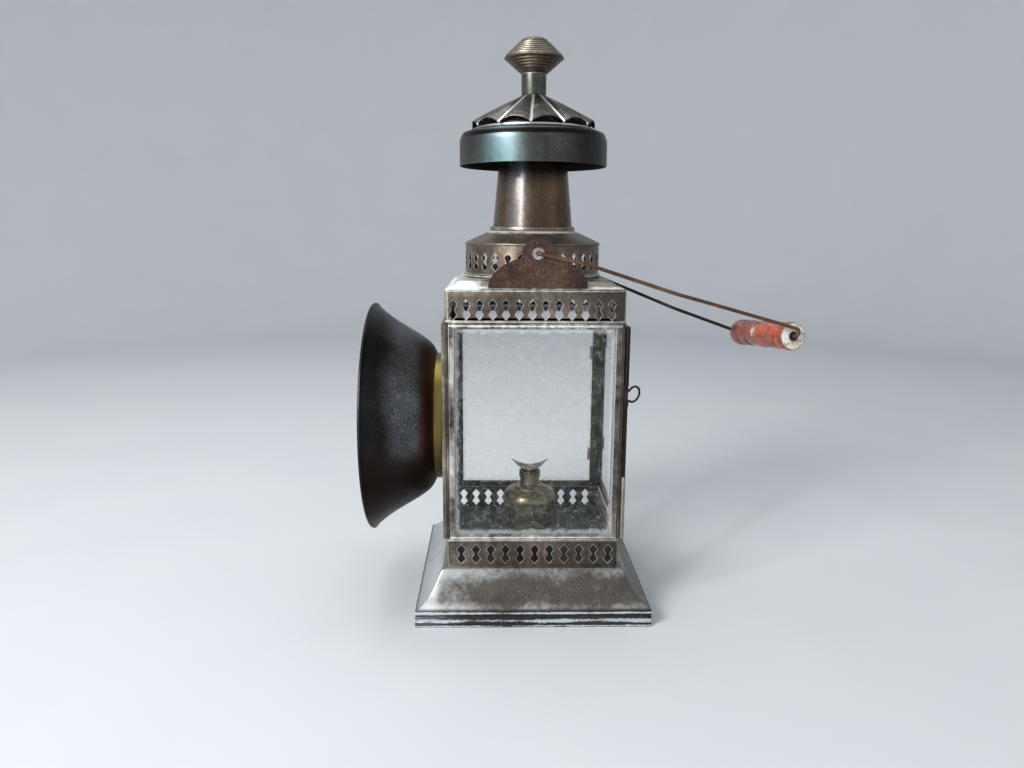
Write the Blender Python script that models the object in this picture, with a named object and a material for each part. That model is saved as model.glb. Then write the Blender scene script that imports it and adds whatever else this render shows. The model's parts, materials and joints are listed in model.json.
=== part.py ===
"""A square carbide lantern with a side bell, a glazed door, a ventilated chimney and a carrying bail.

Metres, +Z up. The origin is the middle of the underside. The front window faces -Y, the bell points
along -X, and the door is on the +X face. The bail lies back over the door side, as it does at rest.
"""

import math

import bmesh
import bpy
from mathutils import Matrix, Vector

MM = 0.001

# Fits, gauges and facets
GAP = 0.3 * MM
OVERRUN = 3.0 * MM
SHEET = 0.8 * MM
FOLD = 0.6 * MM
PLATE = 1.2 * MM
GLASS = 2.0 * MM
WELD = 0.001 * MM
LARGE_FACETS = 24
SMALL_FACETS = 16
FINE_FACETS = 10

# Base
BASE_WIDTH = 215.0 * MM
BASE_HEIGHT = 46.3 * MM
BASE_TOP_MARGIN = 5.0 * MM
BASE_WALL = 1.0 * MM
RIM_HEIGHT = 16.3 * MM
RIM_LIP = 1.2 * MM
RIM_GROOVE = 0.8 * MM
RIM_GROOVE_HEIGHT = 2.0 * MM
RIM_GROOVE_SHARES = (0.36, 0.64)
SHOULDER_DROP = 8.8 * MM
SHOULDER_SPREAD = 3.7 * MM
SHOULDER_ROUND = 1.2 * MM
COVE_PULL_SHARES = (0.31, 0.70)
LEDGE = 10.0 * MM

# Square body
BODY_WIDTH = 159.0 * MM
BODY_CORNER = 3.0 * MM
LOW_BAND_HEIGHT = 26.8 * MM
WINDOW_HEIGHT = 200.2 * MM
HIGH_BAND_HEIGHT = 28.5 * MM
BEAD_HEIGHT = 2.0 * MM
BEAD_BULGE = 1.0 * MM
POST_NIB = 2.4 * MM
POST_LEG = 7.0 * MM
POST_GAP = 0.5 * MM
FRAME_BAR = 4.8 * MM

# Pierced pattern: count, height, width, first hole from the side's start, last from its end, height of its middle
LOW_HOLES = 11
LOW_HOLE_HEIGHT = 18.6 * MM
LOW_HOLE_WIDTH = 8.4 * MM
LOW_HOLE_LEAD = 10.2 * MM
LOW_HOLE_TAIL = 6.8 * MM
LOW_HOLE_MIDDLE = 12.3 * MM
HIGH_HOLES = 13
HIGH_HOLE_HEIGHT = 18.4 * MM
HIGH_HOLE_WIDTH = 7.3 * MM
HIGH_HOLE_LEAD = 4.1 * MM
HIGH_HOLE_TAIL = 9.7 * MM
HIGH_HOLE_MIDDLE = 11.8 * MM
DRUM_HOLES = 32
DRUM_HOLE_HEIGHT = 16.6 * MM
DRUM_HOLE_WIDTH = 7.2 * MM
WAIST_SHARE = 0.34
BELLY_SHARE = 0.25

# Left panel, collar and bell
PANEL_DEPTH = 3.0 * MM
PANEL_INSET = 0.6 * MM
BELL_AXIS_SHARE = 0.495
COLLAR_RADIUS = 60.8 * MM
COLLAR_WALL = 1.0 * MM
COLLAR_REACH = 11.2 * MM
COLLAR_FLANGE = 2.7 * MM
COLLAR_SEAT = 3.8 * MM
BELL_RADIUS = 111.5 * MM
BELL_LENGTH = 61.3 * MM
BELL_NECK = 7.6 * MM
BELL_WALL = 0.9 * MM
BELL_WIRE = 1.8 * MM
BELL_PULL_SHARES = ((0.03, 0.38), (0.62, 0.52))
BELL_STEPS = 5
BELL_ROLL_SHARE = 1.6
NECK_GLASS = 3.0 * MM
RING_WIRE = 1.0 * MM

# Roof, round gallery and shoulder
ROOF_INSET = 0.5 * MM
ROOF_STEP = 1.5 * MM
ROOF_TREAD = 3.5 * MM
ROOF_RUN = 7.7 * MM
ROOF_RISE = 6.2 * MM
DRUM_MARGIN = 4.1 * MM
DRUM_HEIGHT = 29.8 * MM
DRUM_BEAD_HEIGHT = 3.3 * MM
DRUM_BEAD_BULGE = 1.9 * MM
DRUM_HOLE_MIDDLE = 14.9 * MM
DRUM_CLEAR = 2.6 * MM
CANOPY_OVERHANG = 0.9 * MM
CANOPY_EDGE = 1.3 * MM
CANOPY_RISE = 12.3 * MM
CANOPY_PULL_SHARES = (0.30, 0.72)

# Chimney and hood
CHIMNEY_FOOT_RADIUS = 38.3 * MM
CHIMNEY_TOP_RADIUS = 30.3 * MM
CHIMNEY_HEIGHT = 85.0 * MM
CHIMNEY_SINK = 1.6 * MM
FOOT_RING_HEIGHT = 3.8 * MM
FOOT_RING_WIDTH = 1.8 * MM
HOOD_RADIUS = 68.9 * MM
HOOD_WALL = 1.0 * MM
HOOD_RISE = 59.0 * MM
HOOD_SKIRT = 23.2 * MM
HOOD_CROWN = 9.2 * MM
HOOD_LIP = 3.6 * MM
HOOD_LIP_RADIUS = 53.4 * MM
HOOD_CROWN_RADIUS = 57.5 * MM
HOOD_PULL_SHARE = 0.78
STAY_HEIGHT = 8.0 * MM
STAY_LIFT = 8.0 * MM
STAY_TAB = 7.0 * MM
STAYS = 3

# Fluted cap and finial
CAP_RADIUS = 57.0 * MM
CAP_FALL = 28.4 * MM
CAP_LIFT = 5.2 * MM
CAP_FLAT_RADIUS = 12.2 * MM
CAP_LOBES = 12
CAP_LOBE_FACETS = 4
CAP_STEPS = 2
CAP_TURN_DEG = -5.0
STEM_RADIUS = 11.5 * MM
STEM_WALL = 1.2 * MM
STEM_HEIGHT = 19.0 * MM
KNOB_RADIUS = 27.3 * MM
KNOB_HEIGHT = 31.8 * MM
KNOB_BORE_DEPTH = 13.0 * MM
KNOB_SHARES = (
    (0.44, 0.00), (0.52, 0.06), (0.60, 0.10), (0.72, 0.20), (0.75, 0.23), (0.88, 0.33), (1.00, 0.42),
    (0.98, 0.47), (0.90, 0.53), (0.89, 0.57), (0.76, 0.65), (0.74, 0.69), (0.60, 0.77), (0.57, 0.81),
    (0.42, 0.90), (0.24, 0.97), (0.08, 1.00),
)
ROD_RADIUS = 2.5 * MM
NUT_RADIUS = 4.6 * MM
NUT_HEIGHT = 4.0 * MM
NUT_SIDES = 6

# Bail, its ears and grip
EAR_SHIFT = 2.0 * MM
EAR_HALF_WIDTH = 43.5 * MM
EAR_HEIGHT = 27.5 * MM
EAR_LOBE_RADIUS = 14.8 * MM
EAR_EYE_HEIGHT = 29.9 * MM
EAR_LOBE_DROP = 2.0 * MM
EAR_INSET = 0.9 * MM
EAR_FOOT_LENGTH = 60.0 * MM
EAR_FOOT_RUN = 5.9 * MM
WASHER_RADIUS = 5.2 * MM
WASHER_THICKNESS = 0.8 * MM
BAIL_WIRE = 1.75 * MM
BAIL_CLEARANCE = 0.4 * MM
BAIL_LEAN_DEG = 18.8
BAIL_TWIST_DEG = 3.0
BAIL_KNEE = 40.0 * MM
BAIL_KNEE_LIFT = 5.0 * MM
BAIL_STRAIGHT = 126.0 * MM
BAIL_SHOULDER = 162.0 * MM
BAIL_SHOULDER_HALF = 57.0 * MM
BAIL_BEND = 20.0 * MM
BAIL_TIGHT_BEND = 3.0 * MM
BAIL_DROP = 7.0 * MM
BAIL_HOOK = 6.0 * MM
GRIP_NEAR_END = (249.0 * MM, -51.0 * MM, 5.6 * MM)
GRIP_FAR_END = (236.0 * MM, 51.0 * MM, -8.6 * MM)
GRIP_RADIUS = 13.2 * MM
GRIP_END_GAP = 6.0 * MM
GRIP_SHARES = (
    (0.94, 0.00), (1.00, 0.03), (1.00, 0.12), (0.88, 0.14), (0.97, 0.17), (0.97, 0.29), (0.90, 0.31),
    (1.02, 0.50), (0.90, 0.69), (0.97, 0.71), (0.97, 0.83), (0.88, 0.86), (1.00, 0.88), (1.00, 0.97),
    (0.94, 1.00),
)

# Door, its hinges and its bolt
DOOR_DEPTH = 4.0 * MM
DOOR_DROP = 2.9 * MM
DOOR_LIFT = 1.3 * MM
DOOR_FRONT_MARGIN = 1.4 * MM
DOOR_BACK_MARGIN = 1.0 * MM
DOOR_BAR = 7.0 * MM
KNUCKLE_RADIUS = 2.6 * MM
HINGE_PIN_RADIUS = 1.9 * MM
HINGE_HEAD = 1.6 * MM
HINGE_LEAF = 14.0 * MM
HINGE_KNUCKLE_HEIGHT = 14.0 * MM
HINGE_HEIGHT_SHARES = (0.14, 0.72)
LATCH_TUBE_RADIUS = 1.9 * MM
LATCH_TUBE_WALL = 0.6 * MM
LATCH_UPPER_SHARE = 0.27
LATCH_LOWER_SHARE = 0.30
BOLT_RADIUS = 1.0 * MM
BOLT_LENGTH_SHARE = 0.954
BOLT_LOOP_SHARE = 0.666
BOLT_LOOP_OUT = 14.2 * MM
BOLT_LOOP_TALL = 15.5 * MM
BOLT_LOOP_NECK = 4.8 * MM
BOLT_LOOP_BEND = 3.4 * MM
BOLT_CORNER_BEND = 1.6 * MM

# Gas generator and burner
GENERATOR_RADIUS = 22.5 * MM
GENERATOR_WALL = 1.0 * MM
CANISTER_HEIGHT = 18.3 * MM
GASKET_HEIGHT = 1.7 * MM
GASKET_WIDTH = 3.0 * MM
TANK_HEIGHT = 17.7 * MM
SEAT_HEIGHT = 4.0 * MM
SEAT_FLANGE = 6.0 * MM
LID_RADIUS = 26.5 * MM
LID_EDGE = 3.4 * MM
LID_RISE = 11.8 * MM
LID_STEP_RADIUS = 16.0 * MM
LID_STEP = 1.2 * MM
LID_TOP_RADIUS = 10.6 * MM
PIPE_RADIUS = 3.0 * MM
PIPE_BORE = 2.0 * MM
COLUMN_RADIUS = 9.5 * MM
COLUMN_WALL = 1.5 * MM
COLUMN_HEIGHT = 13.6 * MM
COLUMN_FLARE = 1.2 * MM
COLUMN_NOTCH = 3.0 * MM
COLUMN_NOTCH_DEPTH = 7.0 * MM
CRESCENT_HALF_LENGTH = 18.3 * MM
CRESCENT_HALF_WIDTH = 8.6 * MM
CRESCENT_RISE = 11.0 * MM
CRESCENT_TROUGH = 2.4 * MM
CRESCENT_TIP = 0.7 * MM
CRESCENT_FACETS = 10
CRESCENT_ROWS = 4
VALVE_OFFSET = 17.0 * MM
VALVE_STEM = 1.5 * MM
VALVE_POINT = 0.5 * MM
VALVE_POINT_LENGTH = 2.4 * MM
VALVE_KNOB_RADIUS = 4.5 * MM
VALVE_KNOB_HEIGHT = 4.2 * MM
VALVE_KNOB_LIFT = 1.8 * MM
PORT_RADIUS = 1.0 * MM

# Levels and faces that several pieces share
HALF_BODY = BODY_WIDTH / 2
BASE_TOP_HALF = HALF_BODY + BASE_TOP_MARGIN
Z_LOW_BAND = BASE_HEIGHT + GAP
Z_WINDOW = Z_LOW_BAND + LOW_BAND_HEIGHT
Z_HIGH_BAND = Z_WINDOW + WINDOW_HEIGHT
Z_BODY_TOP = Z_HIGH_BAND + HIGH_BAND_HEIGHT
Z_ROOF = Z_BODY_TOP + GAP
Z_TREAD = Z_ROOF + ROOF_STEP
Z_DRUM = Z_TREAD + ROOF_RISE + GAP
Z_CANOPY = Z_DRUM + DRUM_HEIGHT + GAP
Z_CANOPY_TOP = Z_CANOPY + CANOPY_RISE
Z_CHIMNEY = Z_CANOPY_TOP - CHIMNEY_SINK
Z_HOOD = Z_CANOPY_TOP + HOOD_RISE
Z_HOOD_TOP = Z_HOOD + HOOD_SKIRT + HOOD_CROWN + HOOD_LIP
CAP_SEAT_SHARE = (HOOD_LIP_RADIUS - CAP_FLAT_RADIUS) / (CAP_RADIUS - CAP_FLAT_RADIUS)
Z_CAP_TOP = Z_HOOD_TOP + GAP + SHEET + CAP_FALL * CAP_SEAT_SHARE
Z_STEM = Z_CAP_TOP + GAP
Z_KNOB = Z_STEM + STEM_HEIGHT + GAP
Z_EAR = Z_TREAD + GAP
Z_EYE = Z_EAR + EAR_EYE_HEIGHT
Z_FLOOR = Z_LOW_BAND + SHEET
Z_CANISTER = Z_FLOOR + GAP
Z_GASKET = Z_CANISTER + CANISTER_HEIGHT + GAP
Z_TANK = Z_GASKET + GASKET_HEIGHT + GAP
Z_LID = Z_TANK + TANK_HEIGHT + GAP
Z_COLUMN = Z_LID + LID_EDGE + LID_RISE + GAP
Z_CRESCENT = Z_COLUMN + COLUMN_HEIGHT + GAP
DOOR_HEIGHT = WINDOW_HEIGHT - DOOR_DROP - DOOR_LIFT
Z_DOOR = Z_WINDOW + DOOR_LIFT
Z_BELL_AXIS = Z_WINDOW + WINDOW_HEIGHT * BELL_AXIS_SHARE
FRAME_DEPTH = 2 * FOLD + 2 * GAP + GLASS
ROOF_TREAD_HALF = HALF_BODY - ROOF_INSET - ROOF_TREAD
ROOF_TOP_HALF = ROOF_TREAD_HALF - ROOF_RUN
DRUM_RADIUS = ROOF_TOP_HALF - DRUM_MARGIN
DOOR_FACE = HALF_BODY + GAP
DOOR_OUTSIDE = DOOR_FACE + DOOR_DEPTH
DOOR_FRONT = -HALF_BODY + DOOR_FRONT_MARGIN
DOOR_BACK = HALF_BODY - DOOR_BACK_MARGIN
HINGE_X = DOOR_OUTSIDE + GAP + SHEET / 2 - KNUCKLE_RADIUS
HINGE_Y = HALF_BODY + GAP + SHEET / 2 + KNUCKLE_RADIUS
LATCH_X = DOOR_FACE + DOOR_DEPTH / 2
LATCH_Y = DOOR_FRONT - GAP - LATCH_TUBE_RADIUS
EAR_FACE = HALF_BODY - EAR_INSET
BAIL_HALF_SPAN = EAR_FACE + 2 * GAP + WASHER_THICKNESS + BAIL_WIRE


def material(name, colour, roughness, metallic=0.0, alpha=1.0, transmission=0.0):
    """A Principled material with one colour, roughness and metallic value."""
    made = bpy.data.materials.new(name)
    made.use_nodes = True
    shader = made.node_tree.nodes["Principled BSDF"]
    shader.inputs["Base Color"].default_value = (*colour, 1.0)
    shader.inputs["Roughness"].default_value = roughness
    shader.inputs["Metallic"].default_value = metallic
    shader.inputs["Alpha"].default_value = alpha
    shader.inputs["Transmission Weight"].default_value = transmission
    made.diffuse_color = (*colour, alpha)
    return made


def add_piece(name, points, faces, look, carrier=None, smooth_deg=35.0):
    """One closed solid as an object. Points are in world space, or in the carrier's own space if it has one."""
    mesh = bpy.data.meshes.new(name)
    shape = bmesh.new()
    corners = [shape.verts.new(point) for point in points]
    for face in faces:
        shape.faces.new([corners[index] for index in face])
    bmesh.ops.recalc_face_normals(shape, faces=shape.faces)
    shape.to_mesh(mesh)
    shape.free()
    mesh.materials.append(look)
    mesh.shade_smooth()
    mesh.set_sharp_from_angle(angle=math.radians(smooth_deg))
    piece = bpy.data.objects.new(name, mesh)
    bpy.context.scene.collection.objects.link(piece)
    piece.parent = carrier
    return piece


def add_carrier(name, place, turn=None, parent=None):
    """An empty on a joint's axis, which carries the pieces that turn or slide there."""
    carrier = bpy.data.objects.new(name, None)
    carrier.empty_display_size = BODY_WIDTH / 8
    carrier.location = place
    if turn is not None:
        carrier.rotation_euler = turn
    carrier.parent = parent
    bpy.context.scene.collection.objects.link(carrier)
    return carrier


def boolean(piece, other, operation="DIFFERENCE"):
    """Cuts piece by other, or adds other to it, and hides other as a helper."""
    other.hide_render = True
    other.display_type = "WIRE"
    step = piece.modifiers.new(operation.title(), "BOOLEAN")
    step.operation = operation
    step.object = other


def skin(rings, closed):
    """Points and faces of rings joined each to the next. An open run of rings is capped at both ends."""
    count = len(rings[0])
    points = [point for ring in rings for point in ring]
    faces = []
    for r in range(len(rings) if closed else len(rings) - 1):
        low = r * count
        high = (r + 1) % len(rings) * count
        for k in range(count):
            after = (k + 1) % count
            faces.append((low + k, low + after, high + after, high + k))
    if not closed:
        faces.append(tuple(range(count)))
        faces.append(tuple(range(len(points) - count, len(points))))
    return points, faces


def circle(radius, facets):
    return [
        (radius * math.cos(2 * math.pi * k / facets), radius * math.sin(2 * math.pi * k / facets))
        for k in range(facets)
    ]


def turned(section, facets, centre=(0.0, 0.0), closed=True):
    """A solid of revolution about a vertical line, from (radius, height) points."""
    rings = [
        [(centre[0] + x, centre[1] + y, height) for x, y in circle(radius, facets)]
        for radius, height in section
    ]
    return skin(rings, closed)


def squared(section):
    """A section of (half width, height) points carried round a square, with mitred corners."""
    rings = [
        [(half, half, height), (-half, half, height), (-half, -half, height), (half, -half, height)]
        for half, height in section
    ]
    return skin(rings, True)


def box(low, high):
    (x0, y0, z0), (x1, y1, z1) = low, high
    outline = [(x0, y0), (x1, y0), (x1, y1), (x0, y1)]
    return extruded(outline, z0, z1)


def extruded(outline, low, high):
    """A plan outline carried from one height to another."""
    return skin([[(x, y, low) for x, y in outline], [(x, y, high) for x, y in outline]], False)


def tube(outer, bore, low, high):
    return [(bore, low), (outer, low), (outer, high), (bore, high)]


def bezier(start, pull, end, steps):
    """Points of a quadratic curve from start to end that leans towards pull, without its start."""
    found = []
    for k in range(1, steps + 1):
        t = k / steps
        found.append(
            tuple(
                (1 - t) ** 2 * a + 2 * t * (1 - t) * b + t ** 2 * c
                for a, b, c in zip(start, pull, end)
            )
        )
    return found


def thickened(outer, wall):
    """A closed section: the outer line, and the same line moved inwards by the wall along its normals."""
    inner = []
    for k, (x, y) in enumerate(outer):
        ahead = Vector(outer[min(k + 1, len(outer) - 1)])
        behind = Vector(outer[max(k - 1, 0)])
        here = Vector((x, y))
        normal = Vector((0.0, 0.0))
        for along in (here - behind, ahead - here):
            if along.length > 0:
                along.normalize()
                normal += Vector((-along.y, along.x))
        unit = normal.normalized()
        reach = wall / max(normal.length / 2, 0.5) if 0 < k < len(outer) - 1 else wall
        inner.append((x + unit.x * reach, y + unit.y * reach))
    return list(outer) + inner[::-1]


def bent(corners, bends, steps=4):
    """Straight runs between corners in space, with each inner corner rounded to its own bend radius."""
    path = [Vector(corners[0])]
    for k in range(1, len(corners) - 1):
        here = Vector(corners[k])
        back = (Vector(corners[k - 1]) - here).normalized()
        ahead = (Vector(corners[k + 1]) - here).normalized()
        half = back.angle(ahead) / 2
        reach = bends[k - 1] / math.tan(half)
        centre = here + (back + ahead).normalized() * (bends[k - 1] / math.sin(half))
        first = here + back * reach - centre
        last = here + ahead * reach - centre
        sweep = first.angle(last)
        for step in range(steps + 1):
            t = step / steps
            spoke = first * math.sin((1 - t) * sweep) + last * math.sin(t * sweep)
            path.append(centre + spoke / math.sin(sweep))
    path.append(Vector(corners[-1]))
    return path


def add_wire(name, path, radius, look, carrier=None, resolution=1):
    """A round wire along a path, as a curve with a bevel and closed ends."""
    curve = bpy.data.curves.new(name, "CURVE")
    curve.dimensions = "3D"
    curve.bevel_depth = radius
    curve.bevel_resolution = resolution
    curve.use_fill_caps = True
    spline = curve.splines.new("POLY")
    spline.points.add(len(path) - 1)
    for point, place in zip(spline.points, path):
        point.co = (*place, 1.0)
    spline.use_smooth = True
    curve.materials.append(look)
    wire = bpy.data.objects.new(name, curve)
    bpy.context.scene.collection.objects.link(wire)
    wire.parent = carrier
    return wire


class Sheetwork:
    """Faces given by their corner points, where corners at the same place are one point."""

    def __init__(self):
        self.points = []
        self.faces = []
        self.known = {}

    def point(self, place):
        key = tuple(round(value / WELD) for value in place)
        if key not in self.known:
            self.known[key] = len(self.points)
            self.points.append(tuple(place))
        return self.known[key]

    def face(self, *places):
        self.faces.append(tuple(self.point(place) for place in places))


def pierced_band(name, look, sides, apothem, corner, foot, rows, hole):
    """A band folded from pierced sheet: a regular polygon in plan, with rounded corners if corner isn't zero.

    rows are (height above the foot, bulge) pairs from bottom to top, and the holes lie between the two rows
    that hole["row"] names. Each hole is two lozenges one above the other, joined at a waist.
    """
    work = Sheetwork()
    half_angle = math.pi / sides
    side_length = 2 * ((apothem - corner) * math.tan(half_angle))
    pitch = (side_length - hole["lead"] - hole["tail"]) / max(hole["count"] - 1, 1)
    bends = 2 if corner else 0

    def on_side(k, along, depth, height):
        turn = Matrix.Rotation(2 * half_angle * k, 3, "Z")
        return turn @ Vector((along - side_length / 2, -(apothem + depth), foot + height))

    def on_column(k, step, depth, height):
        """Column step of the corner after side k: step 0 is the side's own end."""
        turn = 2 * half_angle * (k + (step / bends if bends else 0.5)) - math.pi / 2
        if not bends:
            reach = (apothem + depth) / math.cos(half_angle)
            return Vector((reach * math.cos(turn), reach * math.sin(turn), foot + height))
        middle = 2 * half_angle * (k + 0.5) - math.pi / 2
        reach = (apothem - corner) / math.cos(half_angle)
        return Vector((
            reach * math.cos(middle) + (corner + depth) * math.cos(turn),
            reach * math.sin(middle) + (corner + depth) * math.sin(turn),
            foot + height,
        ))

    def start(k, depth, height):
        return on_column(k - 1, bends, depth, height)

    def end(k, depth, height):
        return on_column(k, 0, depth, height)

    belly = hole["height"] * BELLY_SHARE
    half_width = hole["width"] / 2
    half_waist = half_width * WAIST_SHARE
    outline = (
        (0, -hole["height"] / 2), (half_width, -belly), (half_waist, 0), (half_width, belly),
        (0, hole["height"] / 2), (-half_width, belly), (-half_waist, 0), (-half_width, -belly),
    )
    bottom_row, top_row = hole["row"], hole["row"] + 1
    for depth in (0, -SHEET):
        for k in range(sides):
            low = rows[bottom_row][0]
            high = rows[top_row][0]
            corners = []
            for n in range(hole["count"]):
                along = hole["lead"] + n * pitch
                corners.append([on_side(k, along + x, depth, hole["middle"] + z) for x, z in outline])
            a, b = start(k, depth, low), start(k, depth, high)
            c, d = end(k, depth, low), end(k, depth, high)
            for n, (foot_tip, lr, wr, ur, tip, ul, wl, ll) in enumerate(corners):
                work.face(ll, wl, ul)
                work.face(lr, wr, ur)
                if n + 1 < len(corners):
                    after = corners[n + 1]
                    work.face(lr, ur, after[5], after[7])
                    work.face(ur, tip, after[4], after[5])
                    work.face(foot_tip, lr, after[7], after[0])
                    near_start = n < len(corners) // 2
                    work.face(b if near_start else d, tip, after[4])
                    work.face(a if near_start else c, foot_tip, after[0])
            first, last = corners[0], corners[-1]
            middle = corners[len(corners) // 2]
            work.face(a, first[7], first[5], b)
            work.face(a, first[0], first[7])
            work.face(b, first[5], first[4])
            work.face(c, last[1], last[3], d)
            work.face(c, last[0], last[1])
            work.face(d, last[3], last[4])
            work.face(a, c, middle[0])
            work.face(b, d, middle[4])
            for r in range(len(rows) - 1):
                (z0, out0), (z1, out1) = rows[r], rows[r + 1]
                if r != bottom_row:
                    work.face(
                        start(k, depth + out0, z0), end(k, depth + out0, z0),
                        end(k, depth + out1, z1), start(k, depth + out1, z1),
                    )
                for step in range(bends):
                    work.face(
                        on_column(k, step, depth + out0, z0), on_column(k, step + 1, depth + out0, z0),
                        on_column(k, step + 1, depth + out1, z1), on_column(k, step, depth + out1, z1),
                    )
    for k in range(sides):
        for n in range(hole["count"]):
            along = hole["lead"] + n * pitch
            for (x0, z0), (x1, z1) in zip(outline, outline[1:] + outline[:1]):
                work.face(*(
                    on_side(k, along + x, depth, hole["middle"] + z)
                    for x, z, depth in ((x0, z0, 0), (x1, z1, 0), (x1, z1, -SHEET), (x0, z0, -SHEET))
                ))
        for z, out in (rows[0], rows[-1]):
            work.face(start(k, out, z), end(k, out, z), end(k, out - SHEET, z), start(k, out - SHEET, z))
            for step in range(bends):
                work.face(
                    on_column(k, step, out, z), on_column(k, step + 1, out, z),
                    on_column(k, step + 1, out - SHEET, z), on_column(k, step, out - SHEET, z),
                )
    return add_piece(name, work.points, work.faces, look)


def folded_frame(name, look, half_width, low, high, bar, face, depth, turn_deg, shift=0.0):
    """A glazed opening's frame: sheet folded to a channel that is open towards the glass.

    It is laid out on the -Y side, with its outer face at -face, and turned about Z to its own side.
    """
    channel = [
        (0, 0), (bar, 0), (bar, FOLD), (FOLD, FOLD), (FOLD, depth - FOLD), (bar, depth - FOLD),
        (bar, depth), (0, depth),
    ]
    rings = []
    for inset, back in channel:
        wide = half_width - inset
        y = back - face
        rings.append([
            (shift - wide, y, low + inset), (shift + wide, y, low + inset),
            (shift + wide, y, high - inset), (shift - wide, y, high - inset),
        ])
    points, faces = skin(rings, True)
    turn = Matrix.Rotation(math.radians(turn_deg), 3, "Z")
    return [turn @ Vector(point) for point in points], faces


def glass_pane(half_width, low, high, face, depth, turn_deg, shift=0.0):
    """The pane that a folded frame holds, a clearance inside its channel."""
    inset = FOLD + GAP
    middle = -face + depth / 2
    points, faces = box(
        (shift - half_width + inset, middle - GLASS / 2, low + inset),
        (shift + half_width - inset, middle + GLASS / 2, high - inset),
    )
    turn = Matrix.Rotation(math.radians(turn_deg), 3, "Z")
    return [turn @ Vector(point) for point in points], faces


def facing_left(shape, height):
    """Turns a solid made about Z so that it lies along -X, with its axis at the given height."""
    points, faces = shape
    return [(-z, y, height + x) for x, y, z in points], faces


def moved(shape, offset):
    points, faces = shape
    return [Vector(point) + Vector(offset) for point in points], faces


def build_base(dark, plain):
    half, top_half = BASE_WIDTH / 2, BASE_TOP_HALF
    rim = [(half, 0)]
    for share in RIM_GROOVE_SHARES:
        middle = RIM_HEIGHT * share
        rim += [
            (half, middle - RIM_GROOVE_HEIGHT / 2),
            (half - RIM_GROOVE, middle),
            (half, middle + RIM_GROOVE_HEIGHT / 2),
        ]
    crease = (top_half + SHOULDER_SPREAD, BASE_HEIGHT - SHOULDER_DROP)
    cove_foot = (half - RIM_LIP, RIM_HEIGHT)
    run, rise = cove_foot[0] - crease[0], crease[1] - cove_foot[1]
    pull = (crease[0] + run * COVE_PULL_SHARES[0], crease[1] - rise * COVE_PULL_SHARES[1])
    cove = [crease] + bezier(crease, pull, cove_foot, 6)
    outer = rim + [(half, RIM_HEIGHT - RIM_LIP)] + cove[::-1]
    outer += [(top_half, BASE_HEIGHT - SHOULDER_ROUND), (top_half - SHOULDER_ROUND, BASE_HEIGHT)]
    outer += [(HALF_BODY - LEDGE, BASE_HEIGHT)]
    plinth = add_piece("base_plinth", *squared(thickened(outer, BASE_WALL)), dark, smooth_deg=25.0)
    bolt_hole = add_piece(
        "bolt_hole_cutter",
        *turned(
            [
                (BOLT_RADIUS + GAP, BASE_HEIGHT - BASE_WALL - OVERRUN),
                (BOLT_RADIUS + GAP, BASE_HEIGHT + OVERRUN),
            ],
            FINE_FACETS, (LATCH_X, LATCH_Y), closed=False,
        ),
        dark,
    )
    boolean(plinth, bolt_hole)
    plate_half = half - BASE_WALL - GAP
    add_piece("base_plate", *box((-plate_half, -plate_half, 0), (plate_half, plate_half, BASE_WALL)), plain)
    pan_half = HALF_BODY - SHEET - GAP
    trim = pan_half - BODY_CORNER
    outline = [
        (pan_half, -trim), (pan_half, trim), (trim, pan_half), (-trim, pan_half),
        (-pan_half, trim), (-pan_half, -trim), (-trim, -pan_half), (trim, -pan_half),
    ]
    add_piece("floor_pan", *extruded(outline, Z_LOW_BAND, Z_FLOOR), plain)


def build_galleries(metal):
    pierced_band(
        "lower_gallery", metal, 4, HALF_BODY, BODY_CORNER, Z_LOW_BAND,
        (
            (0, 0), (LOW_BAND_HEIGHT - BEAD_HEIGHT, 0),
            (LOW_BAND_HEIGHT - BEAD_HEIGHT / 2, BEAD_BULGE), (LOW_BAND_HEIGHT, 0),
        ),
        {
            "row": 0, "count": LOW_HOLES, "height": LOW_HOLE_HEIGHT, "width": LOW_HOLE_WIDTH,
            "lead": LOW_HOLE_LEAD, "tail": LOW_HOLE_TAIL, "middle": LOW_HOLE_MIDDLE,
        },
    )
    pierced_band(
        "upper_gallery", metal, 4, HALF_BODY, BODY_CORNER, Z_HIGH_BAND,
        ((0, 0), (BEAD_HEIGHT / 2, BEAD_BULGE), (BEAD_HEIGHT, 0), (HIGH_BAND_HEIGHT, 0)),
        {
            "row": 2, "count": HIGH_HOLES, "height": HIGH_HOLE_HEIGHT, "width": HIGH_HOLE_WIDTH,
            "lead": HIGH_HOLE_LEAD, "tail": HIGH_HOLE_TAIL, "middle": HIGH_HOLE_MIDDLE,
        },
    )


def build_posts(metal):
    """Corner angles. Each has a nib beside the window frame and two legs behind it."""
    inner_leg = FRAME_DEPTH + GAP
    outline = [
        (0, 0), (POST_NIB, 0), (POST_NIB, inner_leg), (POST_NIB + POST_LEG, inner_leg),
        (POST_NIB + POST_LEG, inner_leg + SHEET), (SHEET, inner_leg + SHEET),
        (SHEET, inner_leg + SHEET + POST_LEG), (0, inner_leg + SHEET + POST_LEG),
    ]
    names = {(-1, -1): "front_left", (1, -1): "front_right", (-1, 1): "back_left", (1, 1): "back_right"}
    for (side_x, side_y), name in names.items():
        plan = [(side_x * (HALF_BODY - x), side_y * (HALF_BODY - y)) for x, y in outline]
        add_piece("corner_post_" + name, *extruded(plan, Z_WINDOW + GAP, Z_HIGH_BAND - GAP), metal)


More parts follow.
